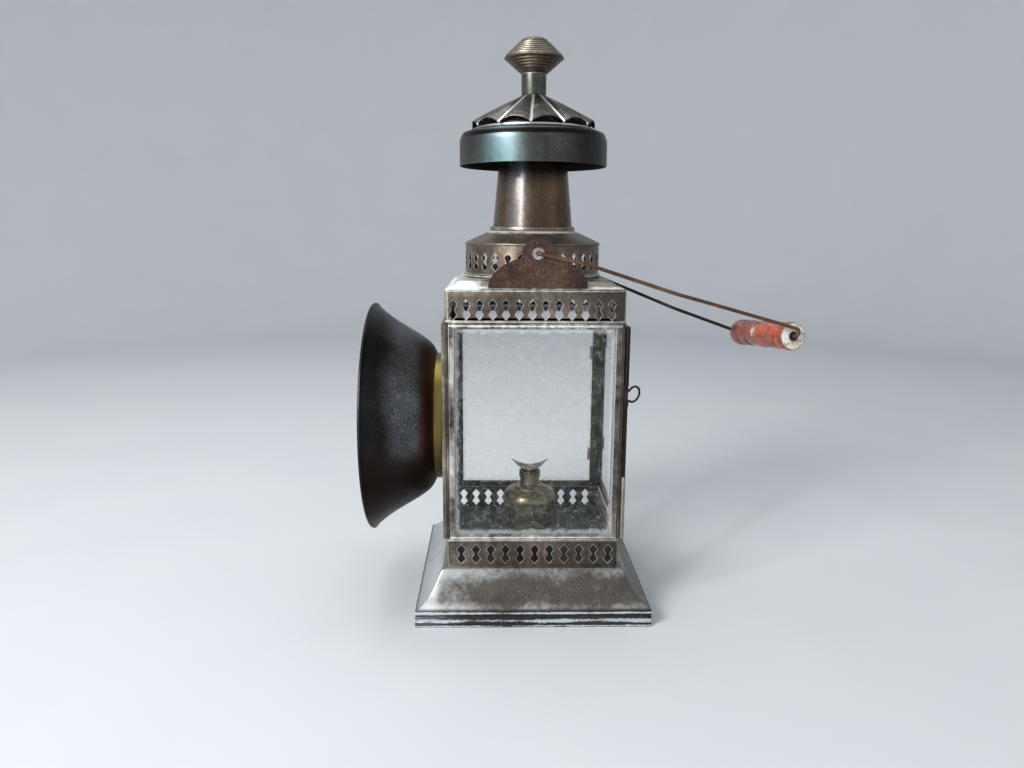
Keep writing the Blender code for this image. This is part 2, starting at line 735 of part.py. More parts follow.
def build_windows(metal, glass):
    half_width = HALF_BODY - POST_NIB - POST_GAP
    low, high = Z_WINDOW + GAP, Z_HIGH_BAND - GAP
    for name, turn_deg in (("front", 0), ("back", 180)):
        frame = folded_frame(name, metal, half_width, low, high, FRAME_BAR, HALF_BODY, FRAME_DEPTH, turn_deg)
        add_piece(name + "_window_frame", *frame, metal)
        pane = glass_pane(half_width, low, high, HALF_BODY, FRAME_DEPTH, turn_deg)
        add_piece(name + "_glass", *pane, glass)


def build_bell_side(metal, olive, bell_dark, glass, steel):
    """The left panel is a shallow tray over the opening, and the collar, bell and glass sit in its hole."""
    inner, outer = -HALF_BODY - GAP, -HALF_BODY - GAP - PANEL_DEPTH
    wide = HALF_BODY - PANEL_INSET
    low, high = Z_WINDOW + GAP, Z_HIGH_BAND - GAP
    panel = add_piece("left_panel", *box((outer, -wide, low), (inner, wide, high)), metal)
    pocket = box(
        (outer + SHEET, -wide + SHEET, low + SHEET), (inner + OVERRUN, wide - SHEET, high - SHEET)
    )
    boolean(panel, add_piece("panel_pocket_cutter", *pocket, metal))
    hole_radius = COLLAR_RADIUS + GAP
    hole = facing_left(
        turned(
            [(hole_radius, -outer - SHEET - OVERRUN), (hole_radius, -outer + OVERRUN)],
            LARGE_FACETS, closed=False,
        ),
        Z_BELL_AXIS,
    )
    boolean(panel, add_piece("panel_hole_cutter", *hole, metal))

    skin_face = -outer
    bore = COLLAR_RADIUS - COLLAR_WALL
    flange = skin_face + GAP
    collar_end = skin_face + COLLAR_REACH
    back = -inner + GAP
    collar = [
        (bore - COLLAR_SEAT, back), (COLLAR_RADIUS, back), (COLLAR_RADIUS, flange),
        (COLLAR_RADIUS + COLLAR_FLANGE, flange), (COLLAR_RADIUS + COLLAR_FLANGE, flange + PLATE),
        (COLLAR_RADIUS, flange + PLATE), (COLLAR_RADIUS, collar_end), (bore, collar_end),
        (bore, back + COLLAR_WALL), (bore - COLLAR_SEAT, back + COLLAR_WALL),
    ]
    add_piece("bell_collar", *facing_left(turned(collar, LARGE_FACETS), Z_BELL_AXIS), olive)

    glass_back = back + COLLAR_WALL + GAP
    glass_radius = bore - GAP
    disc = turned([(glass_radius, glass_back), (glass_radius, glass_back + NECK_GLASS)], LARGE_FACETS, closed=False)
    add_piece("neck_glass", *facing_left(disc, Z_BELL_AXIS), glass)
    ring_middle = glass_back + NECK_GLASS + GAP + RING_WIRE
    ring = [(bore - GAP - RING_WIRE + x, ring_middle + y) for x, y in circle(RING_WIRE, 5)]
    add_piece("neck_glass_ring", *facing_left(turned(ring, LARGE_FACETS), Z_BELL_AXIS), steel)

    neck_radius = COLLAR_RADIUS + GAP + BELL_WALL
    neck = flange + PLATE + GAP
    start = neck + BELL_NECK
    flare = BELL_RADIUS - neck_radius - BELL_WIRE * BELL_ROLL_SHARE
    run = BELL_LENGTH - BELL_WIRE * BELL_ROLL_SHARE
    (x1, y1), (x2, y2) = BELL_PULL_SHARES
    line = [(neck_radius, neck)]
    for k in range(BELL_STEPS + 1):
        t = k / BELL_STEPS
        along = 3 * (1 - t) ** 2 * t * x1 + 3 * (1 - t) * t ** 2 * x2 + t ** 3
        out = 3 * (1 - t) ** 2 * t * y1 + 3 * (1 - t) * t ** 2 * y2 + t ** 3
        line.append((neck_radius + flare * out, start + run * along))
    shell = thickened(line, BELL_WALL)
    wired = shell[:len(line)] + wired_edge(shell[len(line) - 1], shell[len(line)]) + shell[len(line):]
    add_piece("reflector_bell", *facing_left(turned(wired, LARGE_FACETS), Z_BELL_AXIS), bell_dark)


def wired_edge(outer, inner):
    """The roll of a rim turned over a wire, as section points from the sheet's outer corner to its inner one."""
    across = (Vector(outer) - Vector(inner)).normalized()
    along = Vector((-across.y, across.x))
    middle = (Vector(outer) + Vector(inner)) / 2 + along * BELL_WIRE
    roll = []
    for k in range(5):
        turn = math.radians(45 + 67.5 * k)
        roll.append(tuple(middle + (across * math.sin(turn) - along * math.cos(turn)) * BELL_WIRE))
    return roll


def build_roof(metal):
    edge = HALF_BODY - ROOF_INSET
    outer = [
        (edge, Z_ROOF), (edge, Z_TREAD - SHEET), (edge - SHEET, Z_TREAD), (ROOF_TREAD_HALF, Z_TREAD),
        (ROOF_TOP_HALF, Z_TREAD + ROOF_RISE), (DRUM_RADIUS / 2, Z_TREAD + ROOF_RISE),
    ]
    roof = add_piece("roof_plate", *squared(thickened(outer, SHEET)), metal, smooth_deg=20.0)
    opening = DRUM_RADIUS - DRUM_CLEAR
    hole = [(opening, Z_TREAD), (opening, Z_DRUM + OVERRUN)]
    boolean(roof, add_piece("roof_hole_cutter", *turned(hole, LARGE_FACETS, closed=False), metal))

    side = 2 * DRUM_RADIUS * math.tan(math.pi / DRUM_HOLES)
    pierced_band(
        "drum_gallery", metal, DRUM_HOLES, DRUM_RADIUS, 0, Z_DRUM,
        (
            (0, DRUM_BEAD_BULGE / 2), (DRUM_BEAD_HEIGHT / 2, DRUM_BEAD_BULGE), (DRUM_BEAD_HEIGHT, 0),
            (DRUM_HEIGHT, 0),
        ),
        {
            "row": 2, "count": 1, "height": DRUM_HOLE_HEIGHT, "width": DRUM_HOLE_WIDTH,
            "lead": side / 2, "tail": side / 2, "middle": DRUM_HOLE_MIDDLE,
        },
    )
    rim = DRUM_RADIUS + CANOPY_OVERHANG
    throat = CHIMNEY_FOOT_RADIUS + GAP
    shoulder = throat + FOOT_RING_WIDTH
    start, end = (rim, Z_CANOPY + CANOPY_EDGE), (shoulder, Z_CANOPY_TOP)
    pull = (
        rim + (shoulder - rim) * CANOPY_PULL_SHARES[0],
        start[1] + (end[1] - start[1]) * CANOPY_PULL_SHARES[1] / 2,
    )
    line = [(rim, Z_CANOPY), start] + bezier(start, pull, end, 2) + [(throat, Z_CANOPY_TOP)]
    add_piece("drum_shoulder", *turned(thickened(line, SHEET), LARGE_FACETS), metal)


def build_chimney(metal, hood_metal, pale):
    foot_ring = Z_CANOPY_TOP + GAP
    inside = CHIMNEY_FOOT_RADIUS + GAP
    outside = inside + FOOT_RING_WIDTH
    ring = [
        (inside, foot_ring), (outside, foot_ring), (outside, foot_ring + FOOT_RING_HEIGHT / 3),
        (outside - FOOT_RING_WIDTH / 3, foot_ring + FOOT_RING_HEIGHT), (inside, foot_ring + FOOT_RING_HEIGHT),
    ]
    add_piece("chimney_foot_ring", *turned(ring, LARGE_FACETS), metal)
    tube_top = Z_CHIMNEY + CHIMNEY_HEIGHT
    walls = [
        (CHIMNEY_FOOT_RADIUS - SHEET, Z_CHIMNEY), (CHIMNEY_FOOT_RADIUS, Z_CHIMNEY),
        (CHIMNEY_TOP_RADIUS, tube_top), (CHIMNEY_TOP_RADIUS - SHEET, tube_top),
    ]
    add_piece("chimney_tube", *turned(walls, LARGE_FACETS), metal)

    skirt_top = Z_HOOD + HOOD_SKIRT
    crown = skirt_top + HOOD_CROWN
    pull = (HOOD_RADIUS, skirt_top + HOOD_CROWN * HOOD_PULL_SHARE)
    outer = [(HOOD_RADIUS, Z_HOOD), (HOOD_RADIUS, skirt_top)]
    outer += bezier(outer[-1], pull, (HOOD_CROWN_RADIUS, crown), 2)
    outer += [(HOOD_LIP_RADIUS, crown), (HOOD_LIP_RADIUS, crown + HOOD_LIP)]
    add_piece("hood", *turned(thickened(outer, HOOD_WALL), LARGE_FACETS), hood_metal)

    low = Z_HOOD + STAY_LIFT
    slope = (CHIMNEY_FOOT_RADIUS - CHIMNEY_TOP_RADIUS) / CHIMNEY_HEIGHT
    near = CHIMNEY_FOOT_RADIUS - slope * (low - Z_CHIMNEY) + GAP
    facet_reach = (HOOD_RADIUS - HOOD_WALL) * math.cos(math.pi / LARGE_FACETS) - GAP
    far = math.sqrt(facet_reach ** 2 - STAY_TAB ** 2)
    half = PLATE / 2
    outline = [
        (near, -half), (far - PLATE, -half), (far - PLATE, -STAY_TAB), (far, -STAY_TAB), (far, half),
        (near + PLATE, half), (near + PLATE, STAY_TAB), (near, STAY_TAB),
    ]
    for k in range(STAYS):
        turn = Matrix.Rotation(2 * math.pi * k / STAYS + math.pi / 2, 2)
        plan = [turn @ Vector(point) for point in outline]
        add_piece(f"hood_stay_{k + 1}", *extruded(plan, low, low + STAY_HEIGHT), pale)


def build_cap(metal, stem_metal, knob_metal, steel):
    """The fluted cap rests on the hood's lip at its valleys, and its lobes arch over the vents."""
    radii = [ROD_RADIUS + GAP, CAP_FLAT_RADIUS]
    radii += [
        CAP_FLAT_RADIUS + (CAP_RADIUS - CAP_FLAT_RADIUS) * (k + 1) / CAP_STEPS for k in range(CAP_STEPS)
    ]
    around = CAP_LOBES * CAP_LOBE_FACETS

    def ring(radius, drop):
        share = max(radius - CAP_FLAT_RADIUS, 0) / (CAP_RADIUS - CAP_FLAT_RADIUS)
        places = []
        for k in range(around):
            angle = 2 * math.pi * k / around + math.radians(CAP_TURN_DEG - 90)
            arch = abs(math.sin(math.pi * (k % CAP_LOBE_FACETS) / CAP_LOBE_FACETS)) ** 0.8
            height = Z_CAP_TOP - drop + share * (CAP_LIFT * arch - CAP_FALL)
            places.append((radius * math.cos(angle), radius * math.sin(angle), height))
        return places

    rings = [ring(radius, 0) for radius in radii] + [ring(radius, SHEET) for radius in reversed(radii)]
    add_piece("fluted_cap", *skin(rings, True), metal, smooth_deg=50.0)
    stem = tube(STEM_RADIUS, STEM_RADIUS - STEM_WALL, Z_STEM, Z_STEM + STEM_HEIGHT)
    add_piece("finial_stem", *turned(stem, SMALL_FACETS), stem_metal)
    bore = ROD_RADIUS + GAP
    profile = [(bore, Z_KNOB + KNOB_BORE_DEPTH), (bore, Z_KNOB)]
    profile += [(KNOB_RADIUS * r, Z_KNOB + KNOB_HEIGHT * z) for r, z in KNOB_SHARES]
    add_piece("finial_knob", *turned(profile, SMALL_FACETS, closed=False), knob_metal, smooth_deg=25.0)
    under_cap = Z_CAP_TOP - SHEET - GAP
    rod_low = under_cap - 2 * NUT_HEIGHT
    rod = [(ROD_RADIUS, rod_low), (ROD_RADIUS, Z_KNOB + KNOB_BORE_DEPTH - GAP)]
    add_piece("finial_rod", *turned(rod, FINE_FACETS, closed=False), steel)
    nut_bore = bore / math.cos(math.pi / NUT_SIDES)
    nut = tube(NUT_RADIUS, nut_bore, under_cap - NUT_HEIGHT, under_cap)
    add_piece("finial_nut", *turned(nut, NUT_SIDES), steel)


def build_ears(rust, bright):
    base_width = EAR_HALF_WIDTH
    lobe_middle = EAR_EYE_HEIGHT - EAR_LOBE_DROP
    steps = 14
    top = []
    for k in range(steps + 1):
        x = base_width * math.cos(math.pi * k / steps)
        wing = EAR_HEIGHT * math.sqrt(max(1 - (x / base_width) ** 2, 0))
        if abs(x) < EAR_LOBE_RADIUS:
            continue
        top.append((x, wing))
    lobe = [
        (EAR_LOBE_RADIUS * math.cos(angle), lobe_middle + EAR_LOBE_RADIUS * math.sin(angle))
        for angle in (math.radians(15 * n) for n in range(13))
    ]
    right = [place for place in top if place[0] > 0]
    left = [place for place in top if place[0] < 0]
    outline = right + lobe + left
    slope = ROOF_RISE / ROOF_RUN
    for name, side in (("front", -1), ("back", 1)):
        faces_y = (side * EAR_FACE, side * (EAR_FACE - PLATE))
        rings = [[(EAR_SHIFT + x, y, Z_EAR + z) for x, z in outline] for y in faces_y]
        ear = add_piece("bail_ear_" + name, *skin(rings, False), rust)
        tread = EAR_FACE - PLATE / 2
        bend = ROOF_TREAD_HALF + GAP
        tip = bend - EAR_FOOT_RUN
        rise = EAR_FOOT_RUN * slope
        section = [
            (tread, 0), (bend, 0), (tip, rise), (tip, rise + PLATE), (bend, PLATE), (tread, PLATE),
        ]
        ends = (EAR_SHIFT - EAR_FOOT_LENGTH / 2, EAR_SHIFT + EAR_FOOT_LENGTH / 2)
        foot = skin([[(x, side * y, Z_EAR + z) for y, z in section] for x in ends], False)
        boolean(ear, add_piece("ear_foot_" + name, *foot, rust), "UNION")
        eye = BAIL_WIRE + BAIL_CLEARANCE
        hole = [[(EAR_SHIFT + x, side * y, Z_EYE + z) for x, z in circle(eye, FINE_FACETS)]
                for y in (EAR_FACE - PLATE - OVERRUN, EAR_FACE + OVERRUN)]
        boolean(ear, add_piece("ear_eye_" + name, *skin(hole, False), rust))
        near = EAR_FACE + GAP
        washer = [
            [(EAR_SHIFT + x, side * y, Z_EYE + z) for x, z in circle(radius, FINE_FACETS)]
            for radius, y in (
                (eye, near), (WASHER_RADIUS, near), (WASHER_RADIUS, near + WASHER_THICKNESS),
                (eye, near + WASHER_THICKNESS),
            )
        ]
        add_piece("eye_washer_" + name, *skin(washer, True), bright)


def build_bail(wire_metal, wood):
    """The bail is one wire, hooked through both ears, drawn in past the hood, and run through the grip.

    In its own frame X runs from the pivot towards the grip. Its near arm rides above that plane and its far
    arm below, because the bail has been twisted in use.
    """
    pivot = add_carrier("bail_pivot", (EAR_SHIFT, 0, Z_EYE), (0, math.radians(BAIL_LEAN_DEG), 0))
    near, far = Vector(GRIP_NEAR_END), Vector(GRIP_FAR_END)
    along = (near - far).normalized()
    near_mouth, far_mouth = near + along * GRIP_END_GAP, far - along * GRIP_END_GAP
    over_mouth = near_mouth + Vector((0, 0, BAIL_DROP))
    rise = math.tan(math.radians(BAIL_TWIST_DEG))
    inner = EAR_FACE - PLATE - GAP - BAIL_WIRE
    half = BAIL_HALF_SPAN
    corners = [
        (-BAIL_HOOK, -inner, 0), (0, -inner, 0), (0, -half, 0), (BAIL_KNEE, -half, BAIL_KNEE_LIFT),
        (BAIL_STRAIGHT, -half, BAIL_STRAIGHT * rise),
        (BAIL_SHOULDER, -BAIL_SHOULDER_HALF, BAIL_SHOULDER * rise),
        over_mouth, near_mouth, far_mouth,
        (BAIL_SHOULDER, BAIL_SHOULDER_HALF, -BAIL_SHOULDER * rise),
        (BAIL_STRAIGHT, half, -BAIL_STRAIGHT * rise),
        (0, half, 0), (0, inner, 0), (-BAIL_HOOK, inner, 0),
    ]
    eye, tight, easy = BAIL_TIGHT_BEND * 0.7, BAIL_TIGHT_BEND, BAIL_BEND
    bends = [eye, eye, easy, easy, easy, tight, tight, tight, easy, easy, eye, eye]
    add_wire("bail_wire", bent(corners, bends, 3), BAIL_WIRE, wire_metal, pivot)

    axis = add_carrier("grip_axis", (near + far) / 2, along.to_track_quat("Z", "X").to_euler(), pivot)
    bore = BAIL_WIRE + BAIL_CLEARANCE
    length = (near - far).length
    profile = [(GRIP_RADIUS * r, length * (z - 0.5)) for r, z in GRIP_SHARES]
    section = [(bore, -length / 2)] + profile + [(bore, length / 2)]
    add_piece("bail_grip", *turned(section, SMALL_FACETS), wood, axis, smooth_deg=25.0)


def rolled_leaf(path_start, centre, start_deg, sweep_deg, steps=10):
    """A strip of sheet that runs straight from path_start and then rolls round centre, as a plan outline."""
    line = [Vector(path_start)]
    for k in range(steps + 1):
        angle = math.radians(start_deg + sweep_deg * k / steps)
        line.append(Vector(centre) + Vector((math.cos(angle), math.sin(angle))) * KNUCKLE_RADIUS)
    left, right = [], []
    for k, here in enumerate(line):
        along = (line[min(k + 1, len(line) - 1)] - line[max(k - 1, 0)]).normalized()
        across = Vector((-along.y, along.x)) * SHEET / 2
        left.append(here + across)
        right.append(here - across)
    return left + right[::-1]


def build_door(metal, glass, steel):
    hinge = add_carrier("door_hinge_axis", (HINGE_X, HINGE_Y, 0))
    home = (-HINGE_X, -HINGE_Y, 0)
    half_width = (DOOR_BACK - DOOR_FRONT) / 2
    shift = (DOOR_BACK + DOOR_FRONT) / 2
    low, high = Z_DOOR, Z_DOOR + DOOR_HEIGHT
    frame = folded_frame("door", metal, half_width, low, high, DOOR_BAR, DOOR_OUTSIDE, DOOR_DEPTH, 90, shift)
    add_piece("door_frame", *moved(frame, home), metal, hinge)
    pane = glass_pane(half_width, low, high, DOOR_OUTSIDE, DOOR_DEPTH, 90, shift)
    add_piece("door_glass", *moved(pane, home), glass, hinge)

    centre = (HINGE_X, HINGE_Y)
    body_plan = rolled_leaf((HINGE_X - HINGE_LEAF, HINGE_Y - KNUCKLE_RADIUS), centre, -90, 290)
    door_plan = rolled_leaf((HINGE_X + KNUCKLE_RADIUS, HINGE_Y - HINGE_LEAF), centre, 0, 290)
    for name, share in zip(("lower", "upper"), HINGE_HEIGHT_SHARES):
        foot = low + DOOR_HEIGHT * share
        seam = foot + HINGE_KNUCKLE_HEIGHT
        top = seam + GAP + HINGE_KNUCKLE_HEIGHT
        add_piece(f"{name}_hinge_body_leaf", *extruded(body_plan, foot, seam), steel)
        leaf = extruded(door_plan, seam + GAP, top)
        add_piece(f"{name}_hinge_door_leaf", *moved(leaf, home), steel, hinge)
        pin = [
            (HINGE_PIN_RADIUS, foot), (HINGE_PIN_RADIUS, top + GAP),
            (KNUCKLE_RADIUS + SHEET / 2, top + GAP), (KNUCKLE_RADIUS + SHEET / 2, top + GAP + HINGE_HEAD),
        ]
        add_piece(f"{name}_hinge_pin", *turned(pin, FINE_FACETS, centre, closed=False), steel)

    wall = LATCH_TUBE_RADIUS - LATCH_TUBE_WALL
    for name, z0, z1 in (
        ("latch_tube_lower", low, low + DOOR_HEIGHT * LATCH_LOWER_SHARE),
        ("latch_tube_upper", high - DOOR_HEIGHT * LATCH_UPPER_SHARE, high),
    ):
        sleeve = turned(tube(LATCH_TUBE_RADIUS, wall, z0, z1), FINE_FACETS, (LATCH_X, LATCH_Y))
        add_piece(name, *moved(sleeve, home), steel, hinge)
    slide = add_carrier("latch_bolt_axis", (LATCH_X - HINGE_X, LATCH_Y - HINGE_Y, low), None, hinge)
    neck = DOOR_HEIGHT * BOLT_LOOP_SHARE
    out, tall, gap = BOLT_LOOP_OUT, BOLT_LOOP_TALL, BOLT_LOOP_NECK
    corners = [
        (0, 0, 0), (0, 0, neck), (out * 0.82, 0, neck - gap / 3), (out, 0, neck + tall * 0.36),
        (out * 0.78, 0, neck + tall), (out * 0.42, 0, neck + tall * 0.92), (0, 0, neck + gap),
        (0, 0, DOOR_HEIGHT * BOLT_LENGTH_SHARE),
    ]
    bends = [BOLT_CORNER_BEND, BOLT_LOOP_BEND, BOLT_LOOP_BEND, BOLT_LOOP_BEND / 2, BOLT_LOOP_BEND / 2,
             BOLT_CORNER_BEND / 2]
    add_wire("latch_bolt", bent(corners, bends, 3), BOLT_RADIUS, steel, slide)


def build_generator(brass, dull, rubber, steel):
    wall, radius = GENERATOR_WALL, GENERATOR_RADIUS
    seat_bore = radius + GAP
    seat = [
        (seat_bore, Z_CANISTER), (seat_bore + SEAT_FLANGE, Z_CANISTER), (seat_bore + SEAT_FLANGE, Z_CANISTER + SHEET),
        (seat_bore + SHEET, Z_CANISTER + SHEET), (seat_bore + SHEET, Z_CANISTER + SEAT_HEIGHT),
        (seat_bore, Z_CANISTER + SEAT_HEIGHT),
    ]
    add_piece("generator_seat", *turned(seat, SMALL_FACETS), dull)
    for name, foot, height in (
        ("carbide_canister", Z_CANISTER, CANISTER_HEIGHT), ("water_tank", Z_TANK, TANK_HEIGHT),
    ):
        cup = [
            (radius - wall, foot + wall), (radius - wall, foot + height), (radius, foot + height), (radius, foot),
        ]
        add_piece(name, *turned(cup, SMALL_FACETS, closed=False), dull)
    tank = bpy.data.objects["water_tank"]
    pipe_hole = [(PIPE_RADIUS + GAP, Z_TANK - OVERRUN), (PIPE_RADIUS + GAP, Z_TANK + wall + OVERRUN)]
    boolean(tank, add_piece("tank_pipe_cutter", *turned(pipe_hole, FINE_FACETS, closed=False), dull))
    port = [(PORT_RADIUS, Z_TANK - OVERRUN), (PORT_RADIUS, Z_TANK + wall + OVERRUN)]
    valve_place = (0, VALVE_OFFSET)
    boolean(tank, add_piece("tank_port_cutter", *turned(port, FINE_FACETS, valve_place, closed=False), dull))
    gasket = tube(radius, radius - GASKET_WIDTH, Z_GASKET, Z_GASKET + GASKET_HEIGHT)
    add_piece("canister_gasket", *turned(gasket, SMALL_FACETS), rubber)

    edge, crown = Z_LID + LID_EDGE, Z_LID + LID_EDGE + LID_RISE
    step_height = crown - (LID_STEP_RADIUS - LID_TOP_RADIUS) / 2 - LID_STEP
    line = [(LID_RADIUS, Z_LID), (LID_RADIUS, edge)]
    line += bezier(line[-1], (LID_RADIUS - LID_STEP, step_height - LID_STEP), (LID_STEP_RADIUS, step_height), 3)
    line += [
        (LID_STEP_RADIUS, step_height + LID_STEP), (LID_TOP_RADIUS, crown), (PIPE_RADIUS + GAP, crown),
    ]
    lid = add_piece("tank_lid", *turned(thickened(line, SHEET), SMALL_FACETS), brass)
    stem_hole = [(VALVE_STEM + GAP, Z_LID), (VALVE_STEM + GAP, crown + OVERRUN)]
    boolean(lid, add_piece("lid_valve_cutter", *turned(stem_hole, FINE_FACETS, valve_place, closed=False), brass))

    pipe_top = Z_COLUMN + COLUMN_HEIGHT - GAP
    pipe = tube(PIPE_RADIUS, PIPE_BORE, Z_GASKET - GASKET_HEIGHT, pipe_top)
    add_piece("gas_pipe", *turned(pipe, FINE_FACETS), brass)
    column_top = Z_COLUMN + COLUMN_HEIGHT
    inside = COLUMN_RADIUS - COLUMN_WALL
    column = [
        (inside, Z_COLUMN), (COLUMN_RADIUS + COLUMN_FLARE, Z_COLUMN), (COLUMN_RADIUS, Z_COLUMN + COLUMN_FLARE),
        (COLUMN_RADIUS, column_top - 2 * COLUMN_FLARE), (COLUMN_RADIUS + COLUMN_FLARE, column_top),
        (inside, column_top),
    ]
    collar = add_piece("gas_column", *turned(column, SMALL_FACETS), brass)
    reach = COLUMN_RADIUS + OVERRUN
    notch = box(
        (-reach, -COLUMN_NOTCH / 2, column_top - COLUMN_NOTCH_DEPTH), (reach, COLUMN_NOTCH / 2, column_top + OVERRUN)
    )
    boolean(collar, add_piece("column_notch_cutter", *notch, brass))
    build_crescent(brass)

    valve = add_carrier("water_valve_axis", (0, VALVE_OFFSET, Z_TANK + wall))
    knob_foot = step_height + LID_STEP + VALVE_KNOB_LIFT - Z_TANK - wall
    stem = [
        (VALVE_POINT, GAP), (VALVE_STEM, GAP + VALVE_POINT_LENGTH), (VALVE_STEM, knob_foot),
        (VALVE_KNOB_RADIUS, knob_foot + VALVE_POINT), (VALVE_KNOB_RADIUS, knob_foot + VALVE_KNOB_HEIGHT),
        (VALVE_STEM, knob_foot + VALVE_KNOB_HEIGHT + VALVE_POINT),
    ]
    add_piece("water_valve", *turned(stem, FINE_FACETS, closed=False), steel, valve)


def build_crescent(brass):
    """The burner: a pointed leaf of sheet, dished across its width, whose two tips rise and face each other."""
    rows = []
    for i in range(CRESCENT_FACETS + 1):
        u = 2 * i / CRESCENT_FACETS - 1
        half = CRESCENT_TIP + (CRESCENT_HALF_WIDTH - CRESCENT_TIP) * (1 - u * u)
        row = []
        for j in range(CRESCENT_ROWS + 1):
            v = 2 * j / CRESCENT_ROWS - 1
            lift = CRESCENT_RISE * u * u + CRESCENT_TROUGH * v * v * (1 - u * u)
            row.append(Vector((CRESCENT_HALF_LENGTH * u, half * v, Z_CRESCENT + PLATE + lift)))
        rows.append(row)
    rings = [row + [point - Vector((0, 0, PLATE)) for point in reversed(row)] for row in rows]
    add_piece("burner_crescent", *skin(rings, False), brass, smooth_deg=50.0)


def main():
    for leftover in list(bpy.data.objects):
        bpy.data.objects.remove(leftover, do_unlink=True)
    bronze = material("aged bronze sheet", (0.17, 0.15, 0.12), 0.42, 0.85)
    plinth_grey = material("grey bronze with whitewash", (0.25, 0.24, 0.21), 0.55, 0.6)
    inner = material("sooted tin", (0.08, 0.08, 0.07), 0.6, 0.7)
    hood_metal = material("blued hood sheet", (0.15, 0.19, 0.20), 0.38, 0.85)
    cap_metal = material("weathered cap sheet", (0.32, 0.31, 0.28), 0.5, 0.7)
    stem_metal = material("green bronze tube", (0.16, 0.18, 0.15), 0.4, 0.85)
    knob_metal = material("turned bronze", (0.36, 0.32, 0.24), 0.5, 0.75)
    olive = material("olive brass", (0.38, 0.33, 0.12), 0.4, 0.85)
    bell_dark = material("blackened bell", (0.07, 0.055, 0.05), 0.5, 0.7)
    rust = material("brown rusted plate", (0.13, 0.075, 0.05), 0.7, 0.5)
    wire_metal = material("brown iron wire", (0.16, 0.10, 0.06), 0.5, 0.8)
    steel = material("zinc plated steel", (0.42, 0.42, 0.42), 0.4, 0.9)
    brass = material("dull brass", (0.40, 0.34, 0.20), 0.45, 0.8)
    dull = material("tarnished brass", (0.20, 0.16, 0.10), 0.55, 0.75)
    rubber = material("black rubber", (0.03, 0.03, 0.03), 0.8)
    wood = material("red stained wood", (0.42, 0.10, 0.05), 0.45)
    glass = material("dusty glass", (0.80, 0.85, 0.83), 0.1, 0.0, 0.35, 0.6)

    build_base(plinth_grey, inner)
    build_galleries(bronze)
    build_posts(bronze)
    build_windows(bronze, glass)
    build_bell_side(bronze, olive, bell_dark, glass, steel)
    build_roof(bronze)
    build_chimney(bronze, hood_metal, inner)
    build_cap(cap_metal, stem_metal, knob_metal, steel)
    build_ears(rust, steel)
    build_bail(wire_metal, wood)
    build_door(bronze, glass, steel)
    build_generator(brass, dull, rubber, steel)


main()
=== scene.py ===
# %% [markdown]
# # A square carbide lantern with a side bell
#
# The real lantern is folded and soldered from thin brass sheet. Water drips on carbide in the can inside,
# and the gas burns at a small crescent behind the glass. The solid model under this script already holds
# every size, so here each piece gets its true surface: finer curves, softened edges and a worn finish.
# The script loads that model first. Nothing made here may be larger than it.

# %% Load the solid model
import json
import math

import bmesh
import bpy
import numpy as np
from mathutils import Matrix, Vector


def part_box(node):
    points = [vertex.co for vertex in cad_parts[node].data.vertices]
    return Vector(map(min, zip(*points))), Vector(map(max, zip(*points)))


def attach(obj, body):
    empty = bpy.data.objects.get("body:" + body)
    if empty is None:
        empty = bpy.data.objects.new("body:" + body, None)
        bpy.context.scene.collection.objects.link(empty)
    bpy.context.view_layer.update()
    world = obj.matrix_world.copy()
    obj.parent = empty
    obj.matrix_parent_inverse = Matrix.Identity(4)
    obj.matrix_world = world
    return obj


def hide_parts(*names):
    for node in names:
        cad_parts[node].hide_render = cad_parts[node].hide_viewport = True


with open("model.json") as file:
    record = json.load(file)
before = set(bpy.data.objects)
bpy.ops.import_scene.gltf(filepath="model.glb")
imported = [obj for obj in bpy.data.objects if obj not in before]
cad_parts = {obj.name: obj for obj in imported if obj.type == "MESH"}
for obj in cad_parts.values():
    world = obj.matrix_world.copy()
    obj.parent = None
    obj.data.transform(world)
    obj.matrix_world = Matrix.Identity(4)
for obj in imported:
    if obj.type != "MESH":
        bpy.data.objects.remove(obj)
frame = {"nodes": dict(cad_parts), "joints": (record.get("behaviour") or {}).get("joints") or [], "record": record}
bpy.context.view_layer.update()

MM = 0.001
BODY_OF = {node: body for body, nodes in frame["record"]["behaviour"]["bodies"].items() for node in nodes}
JOINT = {joint["name"]: joint for joint in frame["joints"]}

# %% [markdown]
# ## Shader maths as Python expressions
#
# A worn finish is a sum of many small causes: a mottled tarnish, a film of old whitewash, streaks, pits.
# Written with plain node calls, such a sum is unreadable. One small class wraps a socket, so that masks can
# be added and multiplied with + and *, and every other node comes from its one method `node`.


